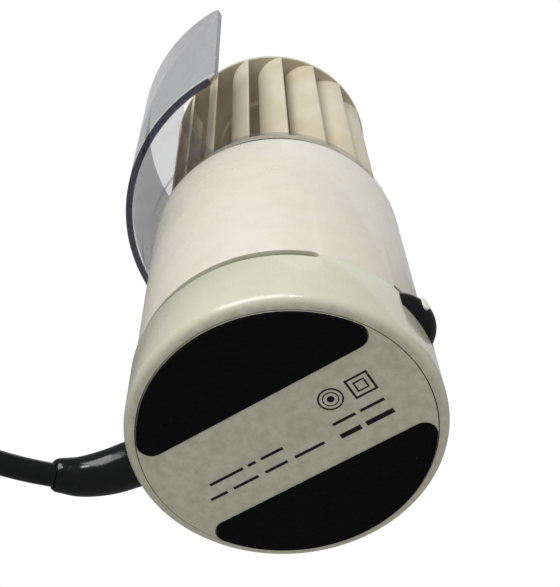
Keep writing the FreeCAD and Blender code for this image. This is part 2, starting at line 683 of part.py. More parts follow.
def bearing_bracket(z, bush_z):
    """Strap across the motor with a round boss for its bush."""
    half_length = SCREW_SPOTS[0].Length + 5
    strap = block((-half_length, half_length), (-BRACKET_HALF_WIDTH_MOTOR, BRACKET_HALF_WIDTH_MOTOR), z)
    strap = facing(strap, math.degrees(math.atan2(SCREW_SPOTS[0].y, SCREW_SPOTS[0].x)))
    holes = [disc(MOTOR_SCREW_R, z, spot) for spot in SCREW_SPOTS]
    bore = disc(BUSH_R, (bush_z[0] - CUT_PAST, bush_z[1] + CUT_PAST))
    return joined([strap, disc(BUSH_R + BUSH_WALL, bush_z)]).cut(holes + [bore])


def bearing_bush(z):
    """Sintered plain bearing that the shaft turns in."""
    return ring(BUSH_R, SHAFT_R + BEARING_GAP, z)


def bracket_spacers():
    """Sleeves on the two long screws between stator, brackets and mounting plate."""
    spans = ((LOWER_BRACKET_Z[1], STACK_Z[0]), (STACK_Z[1], UPPER_BRACKET_Z[0]), (UPPER_BRACKET_Z[1], GROMMET_Z[0]))
    return [ring(SPACER_R, MOTOR_SCREW_R, z, spot) for z in spans for spot in SCREW_SPOTS]


def motor_screws():
    """Two long screws through the whole motor."""
    seat_z = LOWER_BRACKET_Z[0]
    return [disc(SCREW_HEAD_R, (seat_z - SCREW_HEAD_HEIGHT, seat_z), spot).fuse(
        disc(MOTOR_SCREW_R, (seat_z, MOTOR_SCREW_TOP_Z), spot)) for spot in SCREW_SPOTS]


def motor_nuts():
    """Hexagon nuts above the mounting plate."""
    nuts = []
    for spot in SCREW_SPOTS:
        corners = [spot + polar(NUT_R, 60 * k, GROMMET_Z[1]) for k in range(7)]
        nut = Part.Face(Part.makePolygon(corners)).extrude(V(0, 0, NUT_HEIGHT))
        nuts.append(nut.cut(disc(MOTOR_SCREW_R, (GROMMET_Z[1], MOTOR_SCREW_TOP_Z), spot)))
    return nuts


def rubber_grommets():
    """Soft mounts that hold the motor in its plate."""
    flanges = ((GROMMET_Z[0], PLATE_Z[0]), (PLATE_Z[1], GROMMET_Z[1]))
    flange_r = GROMMET_HOLE_R + GROMMET_FLANGE
    return [joined([ring(GROMMET_HOLE_R, MOTOR_SCREW_R, GROMMET_Z, spot)]
                   + [ring(flange_r, MOTOR_SCREW_R, z, spot) for z in flanges]) for spot in SCREW_SPOTS]


def motor_plate():
    """Round plate under the deck that carries the motor."""
    holes = [disc(GROMMET_HOLE_R, PLATE_Z, spot) for spot in SCREW_SPOTS]
    holes += [disc(SCREW_PASS_R, PLATE_Z, polar(PLATE_SCREW_R, a)) for a in PLATE_SCREW_AZIMUTHS]
    return disc(PLATE_OUTER_R, PLATE_Z).cut(holes + [disc(PLATE_CENTRE_HOLE_R, PLATE_Z)])


def motor_plate_screws():
    """Three screws that hold the motor plate under the deck."""
    head_z = (PLATE_Z[0] - SCREW_HEAD_HEIGHT, PLATE_Z[0])
    tip_z = BODY_TOP_Z - 2 * DECK_THICKNESS
    return [pan_screw(polar(PLATE_SCREW_R, a), head_z, tip_z) for a in PLATE_SCREW_AZIMUTHS]


def strain_relief():
    """Tapered rubber sleeve with an inner flange, curving down with the lead."""
    def here(u):
        return polar(u, CORD_AZIMUTH, CORD_EXIT_Z)
    out = polar(1, CORD_AZIMUTH)
    flange = rod(RELIEF_FLANGE_R, here(RELIEF_FLANGE_U[0]), here(RELIEF_FLANGE_U[1]))
    neck = rod(RELIEF_R, here(RELIEF_FLANGE_U[1]), here(RELIEF_NECK_U))
    stations = (
        (here(RELIEF_NECK_U), out, RELIEF_R),
        (V(-42.6, 16.9, 9.0), V(-0.96, 0.18, -0.22), 5.7),
        (V(-49.4, 16.8, 7.0), V(-0.93, -0.18, -0.3), 5.0),
        (CORD_ROUTE[0], CORD_ROUTE[1] - CORD_ROUTE[0], 3.9),
    )
    sleeve = Part.makeLoft([Part.Wire(Part.makeCircle(r, p, d)) for p, d, r in stations], True)
    return joined([flange, neck, sleeve])


def cord_tail():
    """End of the lead inside the housing."""
    ends = (TAIL_END_R, RELIEF_FLANGE_U[0])
    return rod(CORD_R, *[polar(u, CORD_AZIMUTH, CORD_EXIT_Z) for u in ends])


def clamped_lead():
    """Return the stretch of lead between the clamp's halves, along +X."""
    return rod(CORD_R, *[V(u, 0, CORD_EXIT_Z) for u in CLAMP_U])


def clamp_block():
    """Lower half of the cord clamp, on the base plate."""
    body = block(CLAMP_U, (-CLAMP_HALF_WIDTH, CLAMP_HALF_WIDTH), (PLATE_TOP_Z, CORD_EXIT_Z))
    return facing(body.cut(clamped_lead()), CORD_AZIMUTH)


def clamp_screw_spots():
    """Return where the clamp's two screws stand, along +X."""
    return [V(sum(CLAMP_U) / 2, side * CLAMP_SCREW_V, 0) for side in (-1, 1)]


def cord_clamp():
    """Upper half of the cord clamp."""
    z = (CORD_EXIT_Z, CORD_EXIT_Z + CLAMP_CAP)
    body = block(CLAMP_U, (-CLAMP_HALF_WIDTH, CLAMP_HALF_WIDTH), z)
    cutters = [clamped_lead()] + [disc(SCREW_SHANK_R, z, spot) for spot in clamp_screw_spots()]
    return facing(body.cut(cutters), CORD_AZIMUTH)


def clamp_screws():
    """Two screws that close the clamp."""
    top = CORD_EXIT_Z + CLAMP_CAP
    head_r, head_height = CLAMP_SCREW_HEAD
    return [facing(joined([disc(SCREW_SHANK_R, (CORD_EXIT_Z, top), spot),
                           disc(head_r, (top, top + head_height), spot)]), CORD_AZIMUTH)
            for spot in clamp_screw_spots()]


def terminal_block():
    """Insulating block that joins the lead to the wiring."""
    width = (-TERMINAL_HALF_WIDTH, TERMINAL_HALF_WIDTH)
    return facing(block(TERMINAL_U, width, (PLATE_TOP_Z, TERMINAL_TOP_Z)), CORD_AZIMUTH)


def terminal_screws():
    """Four screws on the terminal block."""
    radius, height = TERMINAL_SCREW
    z = (TERMINAL_TOP_Z, TERMINAL_TOP_Z + height)
    return [facing(disc(radius, z, V(x, side * CLAMP_SCREW_V, 0)), CORD_AZIMUTH)
            for x in TERMINAL_SCREW_U for side in (-1, 1)]


def coil_leads():
    """Two wires from the terminal block to the winding."""
    leads = []
    for side in (-1, 1):
        start = polar(sum(TERMINAL_U) / 2, CORD_AZIMUTH, TERMINAL_TOP_Z) + V(0, 2.5 * side, 0)
        end = V(23, 5 * side, bobbin_limits(WINDING_SINK)[1][0] - 0.15)
        points = [start, V(start.x, start.y, 24), V(start.x + 8, start.y, 31), V(14, 4.5 * side, 32.5),
                  V(22, 5 * side, 36), end]
        leads.append(tube_along(points, COIL_LEAD_R, "coil_lead"))
    return leads


def switch_leads():
    """Two wires from the terminal block to the switch contacts."""
    leads = []
    for side in (-1, 1):
        start = polar(7.5, CORD_AZIMUTH, TERMINAL_TOP_Z) + V(0, 2.2 * side, 0)
        end = wheel_point(BRACKET_U[0] - 0.1, 2.6 * side, WHEEL_Z[1] + 0.8)
        points = [start, V(start.x, start.y, 18.5), V(start.x + 4.5, start.y - 1, 24.5),
                  end + polar(-5, WHEEL_AZIMUTH, 0.2), end]
        leads.append(tube_along(points, SWITCH_LEAD_R, "switch_lead"))
    return leads


def cord_coil():
    """Outer shape of the lead's stored turns."""
    outer = COIL_TURN_RADII[1] + CORD_R
    inner = COIL_TURN_RADII[0] - CORD_R
    height = 2 * CORD_R * COIL_LAYERS
    coil = ring(outer, inner, (0, height), COIL_CENTRE)
    return coil.makeFillet(CORD_R * 0.8, [e for e in coil.Edges if len(e.Vertexes) == 1])


def coil_tie():
    """Flat tie bridged over the stored turns."""
    inner_x = (COIL_TURN_RADII[0] - CORD_R - TIE_GAP, COIL_TURN_RADII[1] + CORD_R + TIE_GAP)
    outer_x = (inner_x[0] - TIE_THICKNESS, inner_x[1] + TIE_THICKNESS)
    top = 2 * CORD_R * COIL_LAYERS + TIE_GAP
    width = (-TIE_HALF_WIDTH, TIE_HALF_WIDTH)
    hoop = block(outer_x, width, (0, top + TIE_THICKNESS)).cut(block(inner_x, width, (0, top)))
    return facing(hoop, TIE_AZIMUTH, COIL_CENTRE)


def at_plug(shape):
    """Turn a shape built along +X to the plug's heading and put it at the lead's end."""
    end = END_ROUTE[-1]
    return facing(shape, PLUG_AXIS_AZIMUTH, V(end.x, end.y, 0))


def plug_body():
    """Flat two-pin plug body, narrower at the lead."""
    width, length, height = PLUG_BODY
    shoulder = length * PLUG_WIDENS
    half = [V(0, PLUG_NECK / 2, 0), V(shoulder, width / 2, 0), V(length, width / 2, 0)]
    outline = [V(p.x, -p.y, 0) for p in half] + half[::-1] + [V(0, -PLUG_NECK / 2, 0)]
    body = Part.Face(Part.makePolygon(outline)).extrude(V(0, 0, height))
    return at_plug(body.makeFillet(PLUG_ROUNDING, body.Edges))


def plug_pins():
    """Two round contact pins with insulated roots."""
    length = PLUG_BODY[1]
    mid = PLUG_BODY[2] / 2
    return [at_plug(rod(PIN_R, V(length, y, mid), V(length + PIN_LENGTH, y, mid)))
            for y in (-PIN_PITCH / 2, PIN_PITCH / 2)]


def export(name, shape):
    """Write one node, from a solid or a list of separate solids."""
    solids = shape if isinstance(shape, list) else [shape]
    result = solids[0] if len(solids) == 1 else Part.makeCompound(solids)
    bad = [s for s in solids if not s.isValid() or len(s.Solids) != 1]
    print(f"{name:20s} solids {len(result.Solids):2d} volume {result.Volume:10.1f}", "BAD" if bad else "")
    result.exportStep(f"parts/{name}.step")


def build():
    """Make every node."""
    groove = groove_cutter()
    window = wheel_opening_cutter()
    nodes = {
        "base_shell": base_shell(groove, window),
        "bottom_plate": bottom_plate(),
        "foot_pad_front": foot_pad(PAD_AZIMUTHS[0]),
        "foot_pad_rear": foot_pad(PAD_AZIMUTHS[1]),
        "plate_screws": plate_screws(),
        "body_screws": body_screws(),
        "upper_shell": upper_shell(groove, window),
        "guide_retainer": guide_retainer(),
        "switch_wheel": switch_wheel(),
        "wheel_dot": wheel_dot(),
        "switch_cam": switch_cam(),
        "switch_bracket": switch_bracket(),
        "switch_contacts": switch_contacts(),
        "detent_spring": detent_spring(),
        "air_guide": air_guide(),
        "drum_base": drum_base(),
        "hub_bush": hub_bush(),
        "hub_screw": hub_screw(),
        "drum_blades": drum_blades(),
        "drum_top": drum_top(),
        "motor_shaft": motor_shaft(),
        "rotor_core": rotor_core(),
        "rotor_end_rings": rotor_end_rings(),
        "thrust_washers": thrust_washers(),
        "stator_core": stator_core(),
        "shading_rings": shading_rings(),
        "coil_bobbin": coil_bobbin(),
        "coil_winding": coil_winding(),
        "lower_bracket": bearing_bracket(LOWER_BRACKET_Z, BUSH_Z[0]),
        "upper_bracket": bearing_bracket(UPPER_BRACKET_Z, BUSH_Z[1]),
        "lower_bush": bearing_bush(BUSH_Z[0]),
        "upper_bush": bearing_bush(BUSH_Z[1]),
        "bracket_spacers": bracket_spacers(),
        "motor_screws": motor_screws(),
        "motor_nuts": motor_nuts(),
        "rubber_grommets": rubber_grommets(),
        "motor_plate": motor_plate(),
        "motor_plate_screws": motor_plate_screws(),
        "terminal_block": terminal_block(),
        "terminal_screws": terminal_screws(),
        "coil_leads": coil_leads(),
        "switch_leads": switch_leads(),
        "clamp_block": clamp_block(),
        "cord_clamp": cord_clamp(),
        "clamp_screws": clamp_screws(),
        "cord_tail": cord_tail(),
        "strain_relief": strain_relief(),
        "cord_run": tube_along(CORD_ROUTE, CORD_R, "cord_run"),
        "cord_coil": cord_coil(),
        "coil_tie": coil_tie(),
        "cord_end": tube_along(END_ROUTE, CORD_R, "cord_end"),
        "plug_body": plug_body(),
        "plug_pins": plug_pins(),
    }
    os.makedirs("parts", exist_ok=True)
    for name, shape in nodes.items():
        export(name, shape)


build()
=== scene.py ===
"""Looks of a small mains desk fan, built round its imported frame.

The fan stands on the origin with +Z up the motor shaft, +X to the right and -Y to the front.
Sizes in the classes are millimetres; a mesh is turned into metres when it becomes a piece.
"""

import logging
import math
from dataclasses import dataclass
from enum import Enum
from functools import cache
from typing import Any, Iterable, Sequence

import bmesh
import bpy
from mathutils import Matrix, Vector


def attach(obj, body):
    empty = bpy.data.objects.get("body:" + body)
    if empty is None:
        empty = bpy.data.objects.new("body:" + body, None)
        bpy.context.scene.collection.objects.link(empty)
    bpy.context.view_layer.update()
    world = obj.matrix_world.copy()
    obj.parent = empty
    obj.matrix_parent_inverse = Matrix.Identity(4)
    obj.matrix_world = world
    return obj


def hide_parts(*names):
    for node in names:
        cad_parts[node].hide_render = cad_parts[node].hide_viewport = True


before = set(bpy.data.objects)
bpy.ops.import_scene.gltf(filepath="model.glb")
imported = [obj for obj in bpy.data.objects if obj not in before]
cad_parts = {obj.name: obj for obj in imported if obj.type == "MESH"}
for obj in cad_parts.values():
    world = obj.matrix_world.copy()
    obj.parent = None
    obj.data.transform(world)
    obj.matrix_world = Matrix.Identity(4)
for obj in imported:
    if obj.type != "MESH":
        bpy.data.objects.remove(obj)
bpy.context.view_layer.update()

log = logging.getLogger("desk_fan")
MM = 0.001
FULL_TURN = 2 * math.pi
# A slab drawn flat is put upright by one of these: its height points along +X or along -Y.
FACING_OUT = Matrix(((0, 0, 1, 0), (1, 0, 0, 0), (0, 1, 0, 0), (0, 0, 0, 1)))
STOOD_UP = Matrix(((1, 0, 0, 0), (0, 0, -1, 0), (0, 1, 0, 0), (0, 0, 0, 1)))
Colour = tuple[float, float, float]


def put(name: str, data: bpy.types.ID) -> bpy.types.Object:
    """Make an object of some data, link it to the scene and return it."""
    item = bpy.data.objects.new(name, data)
    bpy.context.scene.collection.objects.link(item)
    return item


class Body(Enum):
    """The moving bodies of the frame."""

    HOUSING = "housing"
    DRUM = "drum"
    GUIDE = "guide"
    WHEEL = "wheel"


# --- Materials -----------------------------------------------------------------------------


class Signal:
    """A number that varies over a surface, and the sums it takes part in."""

    def __init__(self, graph: "Graph", socket: bpy.types.NodeSocket) -> None:
        """Hold a node's output.

        Args:
            graph: The material's nodes.
            socket: The output that gives the number.
        """
        self.graph = graph
        self.socket = socket

    def _sum(self, operation: str, first: Any, second: Any) -> "Signal":
        """Return a Math node's result for two numbers or signals."""
        node = self.graph.node("ShaderNodeMath", {"operation": operation}, {0: first, 1: second})
        return Signal(self.graph, node.outputs[0])

    def __add__(self, other: Any) -> "Signal":
        """Return self + other."""
        return self._sum("ADD", self, other)

    __radd__ = __add__

    def __sub__(self, other: Any) -> "Signal":
        """Return self - other."""
        return self._sum("SUBTRACT", self, other)

    def __rsub__(self, other: Any) -> "Signal":
        """Return other - self."""
        return self._sum("SUBTRACT", other, self)

    def __mul__(self, other: Any) -> "Signal":
        """Return self * other."""
        return self._sum("MULTIPLY", self, other)

    __rmul__ = __mul__

    def __truediv__(self, other: Any) -> "Signal":
        """Return self / other."""
        return self._sum("DIVIDE", self, other)

    def __pow__(self, other: Any) -> "Signal":
        """Return self ** other."""
        return self._sum("POWER", self, other)

    def larger(self, other: Any) -> "Signal":
        """Return the larger of self and other."""
        return self._sum("MAXIMUM", self, other)

    def size(self) -> "Signal":
        """Return the absolute value."""
        return self._sum("ABSOLUTE", self, 0.0)

    def between(self, low: float, high: float) -> "Signal":
        """Return 0 below low, 1 above high and a smooth step between them."""
        node = self.graph.node(
            "ShaderNodeMapRange",
            {"interpolation_type": "SMOOTHSTEP"},
            {"Value": self, "From Min": low, "From Max": high},
        )
        return Signal(self.graph, node.outputs[0])

    def near(self, centre: float, reach: float) -> "Signal":
        """Return 1 at centre, falling smoothly to 0 at reach away from it."""
        return 1 - (self - centre).size().between(0.0, reach)


class Graph:
    """The nodes of one material."""

    def __init__(self, name: str) -> None:
        """Start a material with an empty node tree.

        Args:
            name: The material's name.
        """
        self.material = bpy.data.materials.new(name)
        self.material.use_nodes = True
        self.tree = self.material.node_tree
        self.tree.nodes.clear()

    def node(
        self, kind: str, settings: dict[str, Any] | None = None, inputs: dict[Any, Any] | None = None
    ) -> bpy.types.Node:
        """Add a node.

        Args:
            kind: The node's type.
            settings: Its properties, set first.
            inputs: Values, signals or outputs for its sockets.

        Returns:
            The node.
        """
        made = self.tree.nodes.new(kind)
        for key, value in (settings or {}).items():
            setattr(made, key, value)
        for key, value in (inputs or {}).items():
            socket = made.inputs[key]
            if isinstance(value, Signal):
                self.tree.links.new(value.socket, socket)
            elif isinstance(value, bpy.types.NodeSocket):
                self.tree.links.new(value, socket)
            elif socket.type == "RGBA":
                socket.default_value = (*value[:3], 1.0)
            else:
                socket.default_value = value
        return made

    @cache
    def place(self) -> bpy.types.NodeSocket:
        """Return the surface's own coordinates, in metres."""
        return self.node("ShaderNodeTexCoord").outputs["Object"]

    @cache
    def axes(self) -> tuple["Signal", "Signal", "Signal"]:
        """Return the X, Y and Z coordinates in millimetres."""
        split = self.node("ShaderNodeSeparateXYZ", None, {0: self.place()})
        x, y, z = (Signal(self, output) * 1000.0 for output in split.outputs)
        return x, y, z

    def grain(
        self, size_mm: float, detail: float = 3.0, rough: float = 0.5, stretch: Sequence[float] = (1, 1, 1)
    ) -> Signal:
        """Return noise with features of about a size.

        Args:
            size_mm: The size of its features.
            detail: How many finer octaves it has.
            rough: How strong those octaves are.
            stretch: A scale along each axis.

        Returns:
            Values around 0.5.
        """
        vector = self.node("ShaderNodeMapping", None, {"Vector": self.place(), "Scale": Vector(stretch)})
        made = self.node(
            "ShaderNodeTexNoise",
            None,
            {"Vector": vector.outputs[0], "Scale": 1 / (size_mm * MM), "Detail": detail, "Roughness": rough},
        )
        return Signal(self, made.outputs["Fac"])

    def ridges(self, along: Signal, pitch: float) -> Signal:
        """Return 0 at every whole pitch along a coordinate, rising evenly to 1 halfway between."""
        wave = self.node("ShaderNodeMath", {"operation": "PINGPONG"}, {0: along, 1: pitch / 2})
        return Signal(self, wave.outputs[0]) / (pitch / 2)

    def specks(self, spacing_mm: float, size_share: float) -> Signal:
        """Return 1 in small scattered spots and 0 elsewhere.

        Args:
            spacing_mm: The distance between neighbouring spots.
            size_share: A spot's radius as a share of that distance.

        Returns:
            The spots, many of them removed at random.
        """
        cells = self.node(
            "ShaderNodeTexVoronoi", None, {"Vector": self.place(), "Scale": 1 / (spacing_mm * MM)}
        )
        spot = 1 - Signal(self, cells.outputs["Distance"]).between(size_share * 0.5, size_share)
        chance = self.node("ShaderNodeSeparateColor", None, {0: cells.outputs["Color"]})
        return spot * Signal(self, chance.outputs[0]).between(0.62, 0.7)

    def mix(self, share: Any, first: Any, second: Any) -> bpy.types.NodeSocket:
        """Return a colour between two colours.

        Args:
            share: 0 for the first, 1 for the second.
            first: A colour or an output.
            second: A colour or an output.

        Returns:
            The mixed colour's output.
        """
        made = self.node("ShaderNodeMix", {"data_type": "RGBA"}, {"Factor": share, 6: first, 7: second})
        return made.outputs[2]

    def bump(self, height: Any, depth_mm: float, strength: float = 1.0) -> bpy.types.NodeSocket:
        """Return a normal bent by a height.

        Args:
            height: A signal from 0 to 1.
            depth_mm: How deep 1 is.
            strength: The share of the effect.

        Returns:
            The normal's output.
        """
        made = self.node(
            "ShaderNodeBump", None, {"Height": height, "Distance": depth_mm * MM, "Strength": strength}
        )
        return made.outputs[0]

    def close(self, inputs: dict[str, Any]) -> bpy.types.Material:
        """Finish the material with one Principled shader and return it."""
        shader = self.node("ShaderNodeBsdfPrincipled", None, inputs)
        self.node("ShaderNodeOutputMaterial", None, {"Surface": shader.outputs[0]})
        return self.material


@dataclass(frozen=True)
class Finish:
    """A surface finish that goes with one of the material slots."""

    slot: str

    def nodes(self, graph: Graph) -> bpy.types.Material:
        """Build the material's nodes."""
        raise NotImplementedError

    @cache
    def material(self) -> bpy.types.Material:
        """Return the finish's material, made once."""
        return self.nodes(Graph(self.slot))


@dataclass(frozen=True)
class Moulding(Finish):
    """Moulded plastic, with ageing, dust specks, and bands of grime and painted shade at its corners and
    seams.
    """

    fresh: Colour
    aged: Colour
    roughness: float = 0.3
    coat: float = 0.3
    ageing: float = 0.5
    speck_colour: Colour = (0.16, 0.12, 0.07)
    speck_share: float = 0.5
    grime_and_shade_colour: Colour = (0.30, 0.25, 0.15)
    grime_and_shade_heights: tuple[tuple[float, float], ...] = ()
    grime_and_shade_share: float = 0.35
    grain_depth: float = 0.012

    def nodes(self, graph: Graph) -> bpy.types.Material:
        """Build the material's nodes."""
        _, _, height = graph.axes()
        blotch = graph.grain(34.0, 3.0, 0.6).between(0.42, 0.66) * self.ageing
        colour = graph.mix(blotch, self.fresh, self.aged)
        cloud = graph.grain(7.0, 4.0, 0.65).between(0.40, 0.75) * 0.08
        colour = graph.mix(cloud, colour, self.grime_and_shade_colour)
        grime_and_shade: Any = 0.0
        # Bands at given heights are darkened towards the grime colour: painted shade at seams and corners,
        # broken up by grain like grime.
        for centre, reach in self.grime_and_shade_heights:
            shade_band = height.near(centre, reach) * graph.grain(2.4, 4.0, 0.7).between(0.30, 0.72)
            grime_and_shade = shade_band if isinstance(grime_and_shade, float) else grime_and_shade.larger(shade_band)
        if self.grime_and_shade_heights:
            colour = graph.mix(grime_and_shade * self.grime_and_shade_share, colour, self.grime_and_shade_colour)
        fine = graph.specks(1.5, 0.11) * 0.55 * self.speck_share
        coarse = graph.specks(6.5, 0.055) * self.speck_share
        colour = graph.mix(fine.larger(coarse), colour, self.speck_colour)
        smear = graph.grain(11.0, 4.0, 0.7).between(0.35, 0.8)
        scuff = graph.grain(1.2, 2.0, 0.5, (1.0, 1.0, 0.12)).between(0.60, 0.74)
        rough = self.roughness + smear * 0.14 + scuff * 0.10
        pebble = graph.grain(0.45, 2.0, 0.5)
        wave = graph.grain(16.0, 1.0, 0.3)
        return graph.close(
            {
                "Base Color": colour,
                "Roughness": rough,
                "IOR": 1.5,
                "Coat Weight": self.coat,
                "Coat Roughness": 0.08,
                "Normal": graph.bump(pebble * 0.35 + wave, self.grain_depth * 4, 0.5),
            }
        )


@dataclass(frozen=True)
class Metal(Finish):
    """Bare or plated metal with fine lines and dull patches."""

    colour: Colour
    dull: Colour
    roughness: float = 0.35
    lines: tuple[float, float, float] = (1.0, 1.0, 8.0)
    line_depth: float = 0.01

    def nodes(self, graph: Graph) -> bpy.types.Material:
        """Build the material's nodes."""
        patch = graph.grain(5.0, 4.0, 0.6).between(0.42, 0.72)
        line = graph.grain(0.9, 3.0, 0.6, self.lines)
        colour = graph.mix(patch * 0.6, self.colour, self.dull)
        return graph.close(
            {
                "Base Color": colour,
                "Metallic": 1.0,
                "Roughness": self.roughness + patch * 0.16 + line * 0.08,
                "Normal": graph.bump(line, self.line_depth),
            }
        )


@dataclass(frozen=True)
class Winding(Metal):
    """Enamelled copper wire laid side by side."""

    pitch: float = 0.35

    def nodes(self, graph: Graph) -> bpy.types.Material:
        """Build the material's nodes."""
        _, across, _ = graph.axes()
        ridge = graph.ridges(across, self.pitch)
        colour = graph.mix(graph.grain(1.5, 3.0, 0.6).between(0.3, 0.7), self.colour, self.dull)
        return graph.close(
            {
                "Base Color": colour,
                "Metallic": 0.7,
                "Roughness": self.roughness + ridge * 0.1,
                "Normal": graph.bump(ridge, self.pitch / 2),
            }
        )


@dataclass(frozen=True)
class Laminations(Metal):
    """Stamped iron sheets stacked upwards, with a trace of rust."""

    pitch: float = 0.5

    def nodes(self, graph: Graph) -> bpy.types.Material:
        """Build the material's nodes."""
        _, _, height = graph.axes()
        edge = graph.ridges(height, self.pitch).between(0.0, 0.35)
        rust = graph.grain(3.0, 4.0, 0.7).between(0.55, 0.75)
        colour = graph.mix(rust * 0.7, self.colour, self.dull)
        return graph.close(
            {
                "Base Color": graph.mix(edge, (0.02, 0.02, 0.02), colour),
                "Metallic": 0.8,
                "Roughness": self.roughness + rust * 0.3,
                "Normal": graph.bump(edge, 0.1),
            }
        )


@dataclass(frozen=True)
class ClearPlastic(Finish):
    """Smoky see-through plastic, with painted shade in dark violet round the foot of its wall, where the eye
    looks along the wall.
    """

    colour: Colour
    haze: Colour
    cover: float
    edge_shade_colour: Colour
    edge_shade_cover: float
    centre: tuple[float, float]
    wall_r: float
    foot_z: float
    floor_z: float
    roughness: float = 0.10
    floor_share: float = 0.5
    floor_fade: float = 0.2
    wall_fade: tuple[float, float] = (-0.15, 0.1)
    foot_fade: tuple[float, float, float, float] = (-0.2, -0.05, 0.05, 0.3)

    def nodes(self, graph: Graph) -> bpy.types.Material:
        """Build the material's nodes."""
        dust = graph.grain(5.0, 5.0, 0.7).between(0.45, 0.80)
        scratch = graph.grain(0.8, 2.0, 0.5, (1.0, 1.0, 0.05)).between(0.66, 0.74)
        x, y, z = graph.axes()
        across, along = x - self.centre[0], y - self.centre[1]
        off_centre = (across * across + along * along) ** 0.5
        inner, outer = (self.wall_r + reach for reach in self.wall_fade)
        start, full, held, end = (self.foot_z + reach for reach in self.foot_fade)
        # The foot mask paints shade in dark violet along the wall's lower end, where the eye looks along the
        # wall.
        foot = off_centre.between(inner, outer) * (1 - z.between(held, end)) * z.between(start, full)
        low = 1 - z.between(self.floor_z, self.floor_z + self.floor_fade)
        wall = self.cover * (1 - low * self.floor_share) + dust * 0.05 + scratch * 0.02
        body_colour = graph.mix(dust * 0.25, self.colour, self.haze)
        return graph.close(
            {
                "Base Color": graph.mix(foot, body_colour, self.edge_shade_colour),
                "Roughness": self.roughness + dust * 0.16 + scratch * 0.12,
                "IOR": 1.49,
                "Alpha": wall * (1 - foot) + foot * self.edge_shade_cover,
                "Normal": graph.bump(graph.grain(14.0, 2.0, 0.4), 0.05),
            }
        )


@dataclass(frozen=True)
class EdgeShade(Finish):
    """Painted shade for the end faces of smoky clear plastic, where the eye looks along the wall."""

    colour: Colour
    cover: float

    def nodes(self, graph: Graph) -> bpy.types.Material:
        """Build the material's nodes."""
        wear = graph.grain(1.6, 3.0, 0.6).between(0.4, 0.7)
        return graph.close(
            {
                "Base Color": graph.mix(wear * 0.3, self.colour, (0.16, 0.15, 0.18)),
                "Roughness": 0.2 + wear * 0.15,
                "IOR": 1.49,
                "Alpha": self.cover + wear * 0.04,
            }
        )


@dataclass(frozen=True)
class NappedFoam(Finish):
    """Black napped foam: short matted fibres that catch lint."""

    colour: Colour
    lint: Colour

    def nodes(self, graph: Graph) -> bpy.types.Material:
        """Build the material's nodes."""
        fibre = graph.grain(0.32, 4.0, 0.75, (1.0, 1.6, 1.0))
        mat = graph.grain(3.2, 4.0, 0.7).between(0.35, 0.75)
        fluff = graph.specks(2.6, 0.09) * graph.grain(6.0, 2.0, 0.5).between(0.45, 0.7)
        colour = graph.mix(fibre.between(0.5, 0.8) * 0.5, self.colour, (0.010, 0.0105, 0.011))
        colour = graph.mix(fluff * 0.5, colour, self.lint)
        return graph.close(
            {
                "Base Color": colour,
                "Roughness": 0.86 + mat * 0.12,
                "Specular IOR Level": 0.08,
                "Sheen Weight": 0.02,
                "Sheen Roughness": 0.6,
                "Normal": graph.bump(fibre * 0.7 + mat * 0.5, 0.35),
            }
        )


@dataclass(frozen=True)
class BlackMoulding(Finish):
    """Black plastic or rubber, polished or dull, with dust and fine wear."""

    colour: Colour = (0.010, 0.0105, 0.011)
    roughness: float = 0.16
    dust: float = 0.25
    depth: float = 0.01

    def nodes(self, graph: Graph) -> bpy.types.Material:
        """Build the material's nodes."""
        film = graph.grain(4.0, 5.0, 0.7).between(0.45, 0.80)
        scratch = graph.grain(0.7, 2.0, 0.5, (0.15, 1.0, 1.0)).between(0.62, 0.72)
        colour = graph.mix(film * self.dust * 0.12, self.colour, (0.08, 0.076, 0.068))
        colour = graph.mix(graph.specks(2.0, 0.07) * self.dust, colour, (0.30, 0.29, 0.26))
        rough = self.roughness + film * 0.18 + scratch * 0.10
        ripple = graph.grain(0.8, 3.0, 0.6)
        return graph.close(
            {"Base Color": colour, "Roughness": rough, "IOR": 1.52, "Normal": graph.bump(ripple, self.depth)}
        )


# The grime and shade bands darken the seam, the top rim and the foot: painted shade, grained like grime.
SHELL = Moulding(
    "shell_cream", (0.66, 0.635, 0.555), (0.66, 0.63, 0.48), 0.26, 0.30, 0.4,
    grime_and_shade_heights=((22.0, 1.1), (90.4, 1.6)), grain_depth=0.004,
)
BASE = Moulding(
    "base_cream", (0.585, 0.59, 0.46), (0.57, 0.57, 0.42), 0.22, 0.40, 0.25,
    grime_and_shade_heights=((22.0, 1.1), (0.7, 1.0)), grime_and_shade_share=0.4, grain_depth=0.004,
)
# The groove's floor is the light base plastic in its own shadow, painted as a darkened olive copy of the base
# finish.
GROOVE_SHADE = Moulding(
    "base_cream", (0.24, 0.27, 0.16), (0.20, 0.22, 0.12), 0.4, 0.1, 0.5, grain_depth=0.004,
)
# The drum's band darkens the floor round the blades' feet: painted shade, grained like grime.
DRUM = Moulding(
    "drum_beige", (0.60, 0.55, 0.43), (0.50, 0.43, 0.29), 0.42, 0.05, 0.6,
    speck_share=0.7, grime_and_shade_colour=(0.20, 0.15, 0.08), grime_and_shade_heights=((101.0, 4.0),), grime_and_shade_share=0.4,
)
GUIDE = ClearPlastic(
    "guide_smoke", (0.13, 0.134, 0.15), (0.30, 0.30, 0.29), cover=0.42, edge_shade_colour=(0.018, 0.014, 0.045),
    edge_shade_cover=0.94, centre=(6.46, -8.65), wall_r=50.4, foot_z=95.0, floor_z=97.0,
)
GUIDE_EDGE_SHADE = EdgeShade("guide_smoke", (0.07, 0.07, 0.09), 0.8)
PAD = NappedFoam("pad_black", (0.002, 0.0021, 0.0023), (0.16, 0.16, 0.14))
KNOB = BlackMoulding("knob_black", (0.004, 0.0042, 0.0045), 0.12, 0.25)
MARK = Moulding("mark_white", (0.78, 0.78, 0.73), (0.70, 0.69, 0.60), 0.35, 0.1, 0.4, speck_share=0.2)
